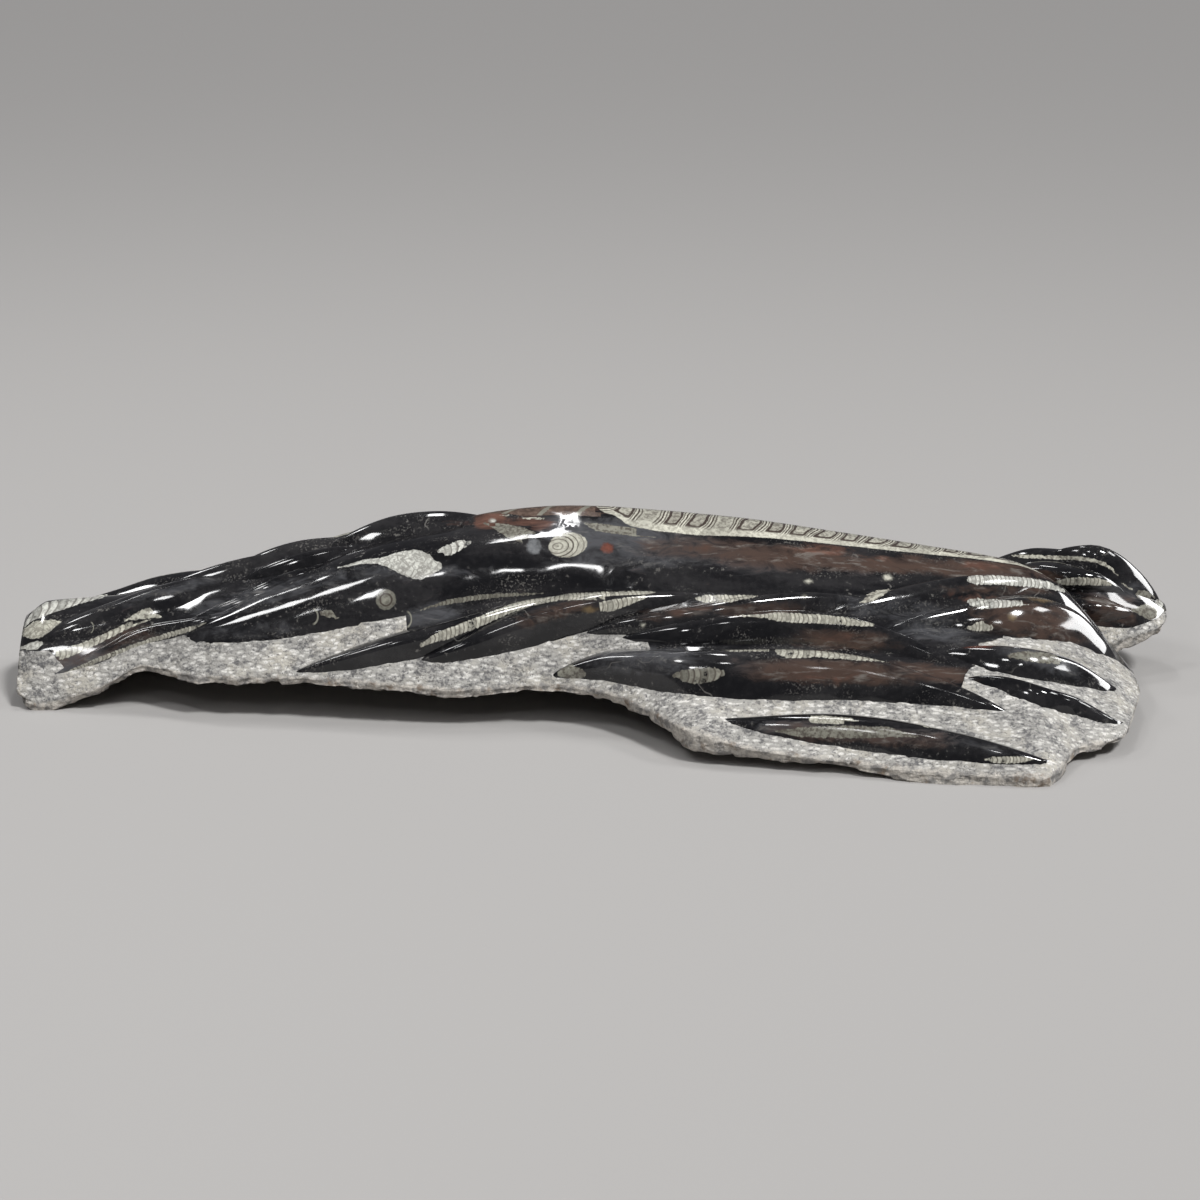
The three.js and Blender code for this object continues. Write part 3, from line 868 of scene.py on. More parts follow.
stone_mesh = unite(slab, bodies, ground_box())
drop_crumbs(stone_mesh)
fit(stone_mesh, CAD_LOW, CAD_HIGH)
restore_normals(stone_mesh)
stone = bpy.data.objects.new("carved_stone", stone_mesh)
show(stone)
stone_mesh.calc_loop_triangles()
print("stone:", len(stone_mesh.loop_triangles), "triangles,", [m.name for m in stone_mesh.materials])

# %% [markdown]
# ## Where the fossils show
#
# Polishing cuts through the shells, so their insides show as pale drawings in black stone: straight shells as
# ladders of chamber walls, coiled ones as rings and arcs. Each drawing is a mark with its own small frame:
# along it, and across it from -1 to 1. A strip follows a line of (x, height, half width) in millimetres, and
# a disc is an ellipse.
#
# The places on the front are given as x and a height on a board that leans back by the camera's tilt, so one
# mark may run over a crease from one cone to the next. The back's marks use the place on the cone itself.
# The corners of the faces carry the frame, and the material draws each kind of shell from it.

# %% Marks
WHITE = (0.56, 0.56, 0.51)
CREAM = (0.46, 0.45, 0.38)
DULL = (0.21, 0.205, 0.17)
HAZE = (0.155, 0.160, 0.165)
RUST = (0.12, 0.036, 0.022)
OCHRE = (0.12, 0.085, 0.045)
KINDS = ("none", "chambers", "loops", "rooms", "plain", "cracked", "rings", "arcs", "ball", "crescent")
MARKS = []


def strip_frame(place, line):
    x, middle, half = (np.array(column, float) for column in zip(*line))
    offset = place[:, 1] - np.interp(place[:, 0], x, middle)
    width = np.interp(place[:, 0], x, half)
    beyond = np.maximum(0, np.maximum(x[0] - place[:, 0], place[:, 0] - x[-1]))
    return place[:, 0] - x[0], offset / width, width, x[-1] - x[0], np.hypot(offset, beyond) - width


def ellipse(place, centre, radii, turn):
    """Each place along and across an ellipse that is turned by so many degrees. Its rim is at 1."""
    turn = math.radians(turn)
    dx, dy = (place - np.array(centre)).T
    along = (dx * math.cos(turn) + dy * math.sin(turn)) / radii[0]
    return along, (dy * math.cos(turn) - dx * math.sin(turn)) / radii[1]


def disc_frame(place, centre, radii, turn):
    along, across = ellipse(place, centre, radii, turn)
    half = min(radii)
    return along, across, np.full(len(place), half), 1, (np.hypot(along, across) - 1) * half


def strip(kind, cones, tint, line, pitch=1, by="board"):
    MARKS.append((kind, cones, tint, pitch, by, strip_frame, [line]))


def disc(kind, cones, tint, centre, radii, turn=0, pitch=1, by="board"):
    MARKS.append((kind, cones, tint, pitch, by, disc_frame, [centre, radii, turn]))


strip("chambers", "slope_1 slope_2", CREAM, [(-120, 45, 1.5), (-111, 50, 3.5), (-101, 53.5, 4),
      (-81, 61.5, 4), (-61, 70.5, 3.5), (-47, 75.5, 3), (-27, 79, 2.5), (0, 79.5, 3), (27, 81, 2.5),
      (37, 82.5, 0.5)], 2.9)
strip("chambers", "slope_2 slope_3", CREAM, [(-7, 70.5, 0.5), (0, 72, 3.5), (7, 72.5, 4.5), (20, 76, 3),
      (30, 79, 1.5)], 3.2)
strip("chambers", "slope_3 rock", CREAM, [(66, 77.5, 1.5), (72, 77.5, 3), (85, 77.5, 3), (98, 79, 1.5),
      (106, 79.5, 0.5)], 2.8)
strip("chambers", "apron_1", CREAM, [(90, 65.5, 0.5), (110, 65.5, 1.5), (119, 65, 3.5), (134, 64, 3.5),
      (147, 63.5, 3.5), (164, 62, 3), (182, 59.5, 1.5)], 2.9)
strip("chambers", "apron_2", CREAM, [(70, 46.5, 0.5), (75, 45.5, 3), (87, 44.5, 3.5), (97, 44, 3),
      (110, 43, 2)], 3.1)
strip("chambers", "apron_2", CREAM, [(119, 42, 3.5), (121, 41.5, 5), (132, 41.5, 5), (142, 41, 3.5),
      (151, 39.5, 3), (180, 36.5, 2), (203, 33, 0.5)], 3.9)
strip("chambers", "apron_2", DULL, [(49, 24.5, 1.5), (54, 24.5, 4), (62, 24.5, 6), (70, 25, 5.5),
      (76, 26, 4.5), (80, 26.5, 2.5)], 4.4)
strip("plain", "apron_2 rock", DULL, [(-25, 25.5, 3.5), (-19, 26.5, 5.5), (-13, 25, 3.5)])
strip("cracked", "apron_3", CREAM, [(138, -4.5, 2.5), (144, -4.5, 3), (154, -5, 2.5), (162, -5, 2),
      (167, -5, 0.5)])
strip("plain", "apron_3", DULL, [(114, -12.5, 0.5), (130, -13, 3.5), (162, -12.5, 4.5), (187, -12.5, 3.5),
      (205, -15, 0.5)])
strip("chambers", "slope_1 slope_2 great_left rock", DULL, [(-127, 67.5, 0.5), (-115, 72, 1),
      (-102, 75.5, 2), (-81, 79, 2), (-61, 80.5, 1.5), (-37, 81.5, 0.5)], 2.6)
strip("plain", "right_3 right_4 rock", DULL, [(272, 38, 1.5), (282, 38, 3.5), (296, 36.5, 4), (305, 35, 3),
      (309, 34.5, 0.5)])
strip("chambers", "apron_3", CREAM, [(247, -30.5, 0.5), (250, -30.5, 2), (257, -30.5, 2.5),
      (268, -30.5, 2.5), (275, -30, 1.5), (278, -30, 0.5)], 2.6)
strip("plain", "rock apron_3", CREAM, [(210, -7.5, 1.5), (218, -7.5, 2.5), (229, -9.5, 1.5)])
strip("chambers", "right_1 great_right rock right_2 right_3", WHITE, [(252, 90.5, 1.5), (254, 91, 3.5),
      (275, 91, 3.5), (296, 89.5, 3.5), (311, 87.5, 3), (321, 83.5, 1.5)], 3)
strip("plain", "right_1 great_right", CREAM, [(176, 74.5, 0.5), (181, 77.5, 3), (188, 80.5, 3),
      (193, 82.5, 2), (197, 84, 0.5)])
strip("chambers", "right_2 right_3 right_1 rock", WHITE, [(252, 74.5, 2), (255, 74.5, 4.5), (260, 74, 4),
      (270, 74, 3), (284, 74.5, 2), (297, 75.5, 1)], 2.9)
strip("chambers", "right_3 rock right_2 right_4", CREAM, [(248, 57, 0.5), (252, 57.5, 3), (258, 58.5, 4),
      (263, 57, 2)], 2.6)
strip("chambers", "rock left_1 back_1", WHITE, [(-399, 57, 2), (-395, 65, 5), (-385, 70, 5.5),
      (-375, 73, 4.5), (-362, 77, 3.5), (-348, 79.5, 1.5)], 5.6)
strip("cracked", "rock left_1", CREAM, [(-397, 53.5, 3.5), (-392, 55, 6.5), (-384, 56, 6.5),
      (-378, 58.5, 4.5), (-372, 61, 0.5)])
strip("cracked", "rock left_1", WHITE, [(-397, 38.5, 5.5), (-391, 40, 6.5), (-387, 43, 4.5),
      (-384, 46, 1.5)])
strip("chambers", "rock left_1 left_2 left_8", CREAM, [(-398, 29.5, 2), (-384, 34, 4.5), (-370, 37.5, 4.5),
      (-356, 42.5, 3.5), (-340, 50, 3), (-323, 59, 2.5), (-313, 62.5, 2), (-303, 66, 0.5)], 4)
strip("plain", "rock left_1 left_8", CREAM, [(-327, 61.5, 0.5), (-322, 64, 2), (-315, 66.5, 3.5),
      (-310, 67.5, 4), (-305, 66, 2), (-302, 64.5, 0.5)])
strip("chambers", "left_2 rock", CREAM, [(-376, 19, 1.5), (-359, 26.5, 2), (-342, 34.5, 2), (-325, 41, 2),
      (-308, 47.5, 2), (-287, 54, 2), (-269, 59, 1.5), (-248, 67, 0.5)], 2.6)
strip("cracked", "great_left", WHITE, [(-179, 99.5, 0.5), (-171, 101.5, 1), (-162, 104, 1.5),
      (-153, 104.5, 2), (-146, 104, 3.5), (-140, 104, 6.5), (-135, 103, 8.5), (-128, 102.5, 10.5),
      (-122, 101.5, 10.5), (-117, 101.5, 8.5), (-113, 101.5, 6.5), (-110, 101, 3)])
strip("chambers", "great_left", WHITE, [(-110, 111, 1), (-107, 111.5, 3.5), (-102, 112.5, 4.5),
      (-97, 115, 4.5), (-92, 117, 3.5), (-89, 118.5, 1)], 4.3)
strip("plain", "great_left", DULL, [(-192, 67.5, 0.5), (-189, 67.5, 2), (-183, 67, 3), (-179, 66, 2),
      (-177, 64.5, 0.5)])
strip("plain", "great_left great_right", DULL, [(-80, 132, 0.5), (-72, 130, 3), (-63, 126, 5),
      (-51, 122.5, 6), (-41, 119, 4.5), (-34, 116, 1.5)])
strip("plain", "great_right", CREAM, [(-70, 138, 0.5), (-66, 139, 2), (-59, 139, 2), (-48, 136, 1.5),
      (-38, 135.5, 0.5)])
strip("plain", "great_right great_left", DULL, [(-11, 131.5, 0.5), (-3, 129, 3), (14, 127, 3.5),
      (27, 125, 3), (38, 122, 0.5)])
strip("plain", "tongue_3 tongue_1 rock tongue_4", CREAM, [(291, 109.5, 0.5), (298, 109, 1.5),
      (334, 107.5, 1.5), (347, 106, 1.5), (358, 101.5, 1.5), (365, 94.5, 0.5)])
strip("chambers", "tongue_1 tongue_3 rock", CREAM, [(321, 90, 1.5), (325, 90, 3), (336, 90.5, 3),
      (350, 90, 3), (357, 88.5, 1.5)], 2.8)
strip("plain", "rock tongue_3 tongue_1", CREAM, [(367, 88.5, 0.5), (370, 87, 1.5), (374, 84, 0.5)])
strip("plain", "rock tongue_3 tongue_2 tongue_1", DULL, [(380, 80.5, 3), (384, 80.5, 4.5), (389, 78, 3)])
strip("plain", "rock tongue_3 tongue_2 tongue_1", DULL, [(374, 69.5, 1.5), (384, 68.5, 6), (391, 68.5, 8),
      (398, 70, 5)])
strip("plain", "rock tongue_3", WHITE, [(395, 74, 3.5)])
disc("ball", "great_left great_right", HAZE, (-45, 115), (5.5, 6.5))
disc("arcs", "great_left great_right", CREAM, (-22, 116), (13.5, 9), turn=8, pitch=0.26)
disc("ball", "great_left great_right", RUST, (5, 114), (5, 4.5))
disc("rings", "great_left", DULL, (-145, 77), (7, 7.5), pitch=0.5)
disc("ball", "slope_2", OCHRE, (-7, 70), (6, 3))
disc("ball", "slope_3", CREAM, (29, 59), (2.5, 2))
disc("ball", "great_right rock", CREAM, (197, 93), (4, 3))
disc("ball", "great_right rock", CREAM, (142, 90), (3.5, 2))
disc("ball", "slope_3 great_right rock right_1", DULL, (138, 79), (2.5, 2))
disc("ball", "right_3 right_1", OCHRE, (303, 79), (15, 4.5))
disc("ball", "right_3", OCHRE, (278, 65), (4, 3.5))
disc("ball", "great_right", WHITE, (-74, 134), (3, 2))
disc("crescent", "great_left rock slope_1", DULL, (-131, 63), (4, 6.5))
disc("crescent", "great_left", DULL, (-195, 65), (4.5, 6.5))
disc("crescent", "left_1", DULL, (-350, 57), (2.5, 4.5))
disc("ball", "right_4 right_3", RUST, (251, 46), (14.5, 3.5))
strip("rooms", "great_right", DULL, [(-84, 2, 1), (-72, 2, 4), (-52, 2, 10), (0, 2, 12),
      (21, 3, 16)], 25, by="cone")
strip("loops", "great_right", CREAM, [(8, 4, 12), (18, 3, 18), (37, 4, 21), (67, 4, 22), (136, 5, 19),
      (205, 5, 15.5), (276, 5, 9), (302, 4, 3)], 17.5, by="cone")
strip("chambers", "back_1", CREAM, [(-352, 0, 1), (-310, 2, 5), (-262, 0, 4), (-238, 0, 1)], 3.4, by="cone")
strip("loops", "back_3", CREAM, [(-222, 0, 2), (-160, 0, 9), (-100, 0, 8), (-68, 0, 2)], 11, by="cone")
strip("chambers", "back_2", CREAM, [(-268, 4, 1), (-220, 6, 3), (-160, 4, 4), (-132, 2, 1)], 3, by="cone")
strip("chambers", "back_4", CREAM, [(-104, -2, 1), (-60, -4, 4), (0, -4, 4), (44, -2, 1)], 3.6, by="cone")
strip("loops", "back_6", DULL, [(106, 0, 2), (160, 0, 8), (220, 0, 7), (262, 0, 2)], 12, by="cone")
strip("chambers", "back_5", CREAM, [(24, 3, 1), (70, 5, 4), (120, 4, 3), (150, 3, 1)], 3.2, by="cone")
strip("plain", "back_7", DULL, [(176, 0, 1), (210, 1, 3), (250, 0, 2), (268, 0, 1)], by="cone")
strip("chambers", "tongue_4", CREAM, [(300, 0, 1), (330, 1, 3), (360, 0, 2), (376, 0, 1)], 2.8, by="cone")
disc("arcs", "back_4", CREAM, (24, 6), (11, 6), turn=10, pitch=0.24, by="cone")
disc("rings", "great_right", CREAM, (120, 40), (9, 7), pitch=0.5, by="cone")
disc("arcs", "great_right", CREAM, (210, 37), (17, 9), turn=-8, pitch=0.2, by="cone")
disc("ball", "great_right", RUST, (40, 38), (6, 5), by="cone")
disc("ball", "back_2", OCHRE, (-190, -6), (6, 4), by="cone")
print(len(MARKS), "marks")

# %% [markdown]
# ## Writing the marks on the stone
#
# For every face corner the numbers below are worked out with whole arrays. A face takes the frame of one mark
# only, so that the frame never jumps inside a face: the latest mark that touches it, or else the nearest one.

# %% Write the marks
MARK = "mark"            # corner attribute: along the mark in mm (or a disc's radii), across from -1 to 1
MAKE = "mark_make"       # kind, pitch, half width and length
TINT = "mark_tint"
REACH = 4                # mm beyond a mark's edge that still get its frame


def colour_layer(mesh, name, values):
    padded = np.zeros((len(mesh.loops), 4))
    padded[:, :values.shape[1]] = values
    write_layer(mesh, name, "FLOAT_COLOR", padded)


def on_board(mesh, point):
    """Each corner's place on the leaning board."""
    places = point_places(mesh)[point] / MM
    return np.column_stack([places[:, 0], places[:, 2] + places[:, 1] * math.tan(CAMERA_TILT)])


def write_marks(mesh, marks):
    face, source, point = corner_table(mesh)
    places = {"board": on_board(mesh, point), "cone": read_layer(mesh, ON_CONE_MM)}
    frames, make, tints = (np.zeros((len(mesh.loops), size)) for size in (2, 4, 3))
    best = np.full(len(mesh.polygons), float(REACH))
    used = 0
    for kind, cones, tint, pitch, by, find, shape in marks:
        numbers = [0 if name == "rock" else CONE_NAMES.index(name) + 1 for name in cones.split()]
        along, across, width, length, outside = find(places[by], *shape)
        outside[~np.isin(source, numbers)] = REACH
        nearest = np.full(len(mesh.polygons), float(REACH))
        np.minimum.at(nearest, face, outside)
        chosen = (nearest < 0) | (nearest < best)
        best[chosen] = nearest[chosen]
        corners = chosen[face]
        frames[corners] = np.column_stack([along, across])[corners]
        make[corners] = (KINDS.index(kind), pitch, 0, length)
        make[corners, 2] = width[corners]
        tints[corners] = tint
        used += bool(corners.any())
    write_layer(mesh, MARK, "FLOAT2", frames)
    colour_layer(mesh, MAKE, make)
    colour_layer(mesh, TINT, tints)
    print("marks on the stone:", used, "of", len(marks))


write_marks(stone_mesh, MARKS)

# %% [markdown]
# ## Stains
#
# Iron has turned parts of the stone rusty and brown, and thin calcite lies over others as a grey haze. One
# grey patch, low on the left at x -115, is painted sheen: the grey of a reflection, put in as colour. Such
# patches have no edge, so each is a soft hill of a colour channel. The rock's own channel says how broken it
# is, which the matrix needs to tell split faces from chiselled ones.

# %% Stains
STAIN = "stain"          # corner attributes: rust, brown and grey
FINISH = "finish"        # and on rock: how far inside the polish, and how broken
STAINS = {       # x and height on the board, two radii in mm, turn in degrees, amount
    "rust": [
        (-76, 134, 10, 6, 0, 1.5), (-52, 133, 18, 3, 0, 1.1), (-41, 130, 8, 4, 0, 0.8),
        (-48, 141, 17, 3, 0, 0.6), (-14, 142, 15, 4, 0, 0.8), (15, 142, 13, 4, 0, 0.5),
        (62, 115, 15, 3, 0, 0.35), (148, 113, 23, 4, -4, 0.6), (186, 107, 17, 3, -4, 0.5),
        (266, 101, 21, 3, -4, 0.6), (-100, 132, 15, 3, 0, 0.4), (-7, 70, 18, 5, 10, 0.3),
        (67, 70, 20, 3, 8, 0.4), (164, 51, 17, 4, 0, 0.5), (151, 23, 24, 5, 0, 0.5),
        (249, 79, 20, 3, 0, 0.6),
    ],
    "brown": [
        (68, 113, 41, 7, -2, 0.75), (123, 108, 48, 9, -4, 0.85), (178, 103, 41, 6, -4, 0.85),
        (248, 100, 55, 6, -4, 0.9), (312, 95, 14, 4, -20, 0.8), (-27, 68, 27, 6, 14, 0.6),
        (54, 68, 27, 5, 8, 0.6), (108, 70, 34, 6, 0, 0.6), (164, 49, 33, 7, -2, 0.8),
        (151, 27, 52, 8, -2, 0.95), (219, 27, 26, 6, -8, 0.8), (168, -15, 58, 6, -4, 0.7),
        (274, 84, 41, 4, 0, 0.6), (290, 63, 40, 13, -10, 0.75), (-328, 48, 27, 10, 22, 0.5),
        (-370, 32, 27, 6, 16, 0.6), (356, 69, 21, 12, 0, 0.6),
    ],
    "grey": [
        (-21, 127, 22, 9, 0, 0.8), (7, 123, 45, 13, 0, 0.75), (41, 111, 48, 10, 0, 0.6),
        (0, 105, 34, 7, 0, 0.5), (96, 108, 41, 10, -4, 0.5), (151, 104, 41, 7, -4, 0.4),
        (27, 39, 40, 6, -4, 0.7), (27, 30, 33, 6, 0, 0.5), (125, 30, 39, 7, 0, 0.4),
        (155, -13, 58, 5, -4, 0.7), (231, -19, 38, 5, -10, 0.4), (203, 70, 41, 10, -8, 0.5),
        # the patch at x -115, height 67 is painted sheen: the grey of a reflection on slope_1, put in as
        # colour
        (292, 35, 33, 6, -18, 0.6), (222, 54, 27, 7, -8, 0.6), (-115, 67, 20, 7, 14, 0.7),
        (-296, 84, 41, 4, 14, 0.5), (-239, 77, 48, 9, 14, 0.5), (-370, 30, 34, 9, 16, 0.9),
        (-163, 95, 41, 7, 6, 0.45), (-238, 55, 41, 6, 5, 0.4), (-95, 97, 34, 4, 0, 0.5),
        (365, 84, 21, 10, 0, 0.5),
    ],
}


def write_stains(mesh, stains):
    _, source, point = corner_table(mesh)
    board = on_board(mesh, point)
    values = np.zeros((len(mesh.loops), len(stains)))
    for channel, patches in enumerate(stains.values()):
        for x, height, long, wide, turn, amount in patches:
            along, across = ellipse(board, (x, height), (long, wide), turn)
            hill = amount * np.exp(-(along ** 4 + across ** 4) / 1.5)
            values[:, channel] = np.maximum(values[:, channel], hill)
    colour_layer(mesh, STAIN, values)
    colour_layer(mesh, FINISH, np.where(source[:, None] == 0, read_layer(mesh, ON_CONE_MM), [1, 0]))
    mesh.attributes.remove(mesh.attributes[ON_CONE_MM])


write_stains(stone_mesh, STAINS)
print(sum(len(patches) for patches in STAINS.values()), "stains")

# %% [markdown]
# ## Words for shader maths
#
# A few short helpers say what the two finishes need: clouds of noise of a size in millimetres, a soft step,
# an attribute, a mix of two colours, and the three sockets that both finishes set. Sizes on the real stone
# are what the scales are made from.

# %% Shader words


def shader_of(material):
    material.use_nodes = True
    tree = material.node_tree
    tree.nodes.clear()
    shader = tree.nodes.new("ShaderNodeBsdfPrincipled")
    output = tree.nodes.new("ShaderNodeOutputMaterial")
    tree.links.new(shader.outputs[0], output.inputs[0])
    return tree, shader


def object_place(tree):
    return add_node(tree, "ShaderNodeTexCoord", None, None, "Object")


def clouds(place, size, detail=3.0, rough=0.55, distortion=0.0):
    """Noise from 0 to 1 with blotches of this many millimetres."""
    sockets = {"Vector": place, "Scale": 1000 / size, "Detail": detail, "Roughness": rough,
               "Distortion": distortion}
    return place.node("ShaderNodeTexNoise", None, sockets)


def cells(place, size, feature="F1"):
    """A distance in a pattern of cells of this many millimetres."""
    return place.node("ShaderNodeTexVoronoi", {"feature": feature}, {"Vector": place, "Scale": 1000 / size},
                      "Distance")


def step(wire, low, high):
    """0 below low, 1 above high, smooth between, and the other way round where low is the larger."""
    sockets = {0: wire, 1: low, 2: high, 3: 0.0, 4: 1.0}
    return wire.node("ShaderNodeMapRange", {"interpolation_type": "SMOOTHSTEP"}, sockets)


def attribute(tree, name, output="Vector"):
    settings = {"attribute_type": "GEOMETRY", "attribute_name": name}
    return add_node(tree, "ShaderNodeAttribute", settings, None, output)


def solid(colour):
    return (*colour, 1.0)


def mixed(factor, first, second):
    first, second = (c if isinstance(c, Wire) else solid(c) for c in (first, second))
    return factor.node("ShaderNodeMix", {"data_type": "RGBA"}, {0: factor, 6: first, 7: second}, 2)


def larger(first, *others):
    for other in others:
        first = first.math("MAXIMUM", first, other)
    return first


def stretched(place, factors, turn=(0.0, 0.0, 0.0)):
    return place.node("ShaderNodeMapping", None, {"Vector": place, "Rotation": turn, "Scale": factors})


def chance_of(number):
    """One random value from 0 to 1 for each whole number."""
    return number.node("ShaderNodeTexWhiteNoise", {"noise_dimensions": "1D"}, {"W": number})


def wear(tree, shader, colour, roughness, height, strength, depth):
    """Gives the shader its colour, its roughness and a bump of this height. Returns the tree's size."""
    bump = add_node(tree, "ShaderNodeBump", None, {"Strength": strength, "Distance": depth, "Height": height})
    for name, wire in (("Base Color", colour), ("Roughness", roughness), ("Normal", bump)):
        tree.links.new(wire.socket, shader.inputs[name])
    return len(tree.nodes)


print("shader words ready")

# %% [markdown]
# ## Bare limestone
#
# Under the polish the stone is nearly black, with long clouds of dark grey, a dust of crushed shell and a few
# hairline veins of calcite. Iron stains it brown in ragged streaks that run along the slab, and a thin grey
# haze lies over the saddle. Noise that is stretched along x gives such streaks their direction.

# %% Bare limestone
BLACK = (0.005, 0.005, 0.006)
CHARCOAL = (0.026, 0.025, 0.026)
BROWN = (0.070, 0.045, 0.035)
IRON = (0.088, 0.044, 0.032)
# the grey of the calcite haze, and of one painted sheen
HAZE_AND_SHEEN_GREY = (0.080, 0.081, 0.087)
SPECK = (0.24, 0.23, 0.21)


def bare_stone(place):
    drawn = stretched(place, (0.45, 1.0, 1.0))
    wide = clouds(drawn, 34, 5.0, 0.62, 0.5)
    fine = clouds(place, 4, 4.0, 0.65)
    colour = mixed(step(wide + fine * 0.3, 0.50, 0.86), BLACK, CHARCOAL)
    dust = step(clouds(place, 1.5, 2.0), 0.54, 0.66) * step(clouds(drawn, 20, 4.0), 0.50, 0.66)
    colour = mixed(dust * 0.40, colour, SPECK)
    crumb = step(clouds(place, 4, 3.0, 0.6), 0.60, 0.72) * step(clouds(place, 40, 2.0), 0.50, 0.60)
    wobble = place.node("ShaderNodeTexNoise", None, {"Vector": place, "Scale": 45.0}, 1)
    bent = vector("ADD", place, scaled(wobble, 0.02))
    vein = step(cells(bent, 90, "DISTANCE_TO_EDGE"), 0.005, 0.002) * step(clouds(place, 60, 2.0), 0.57, 0.62)
    return mixed(larger(crumb * 0.5, vein * 0.4), colour, SPECK), drawn, fine


def stained(tree, place, colour, drawn):
    rust, brown, grey = parts_of(attribute(tree, STAIN))
    streaks = clouds(drawn, 9, 5.0, 0.68, 0.8) - 0.5
    wisps = clouds(stretched(place, (0.25, 1.0, 1.0)), 5, 4.0, 0.65, 0.5)
    # grey haze, and in one patch a painted sheen
    haze_and_sheen_part = step(grey + streaks * 1.5, 0.18, 0.90)
    colour = mixed(haze_and_sheen_part * 0.9, colour, HAZE_AND_SHEEN_GREY)
    brown_part = step(brown + streaks * 1.6, 0.20, 0.95)
    colour = mixed(brown_part * 0.95, colour, BROWN)
    pale = step(wisps, 0.52, 0.70) * larger(brown_part, haze_and_sheen_part * 0.7)
    colour = mixed(pale * 0.52, colour, SPECK)
    rust_part = step(rust + streaks * 2.0, 0.30, 1.0)
    iron = scaled(IRON, wisps * 4.0 - 0.8)
    return mixed(rust_part * 0.85, colour, iron), larger(brown_part, haze_and_sheen_part, rust_part)


print("bare stone ready")

# %% [markdown]
# ## The shells' drawings
#
# Every kind of mark is a formula of its own frame. A ladder has one dark line for each step along it. The
# great shell's chambers have curved walls, and the D-shaped line inside each of them is a fixed distance from
# the nearest wall, which is what the smooth minimum of two distances gives. Discs are drawn by the distance
# from their middle. Lengths are in millimetres, so that a thin wall is as thin on a great shell as on a small
# one.

# %% The shells' drawings
LINE_BROWN = (0.035, 0.022, 0.018)
ROOM_RED = (0.105, 0.072, 0.056)


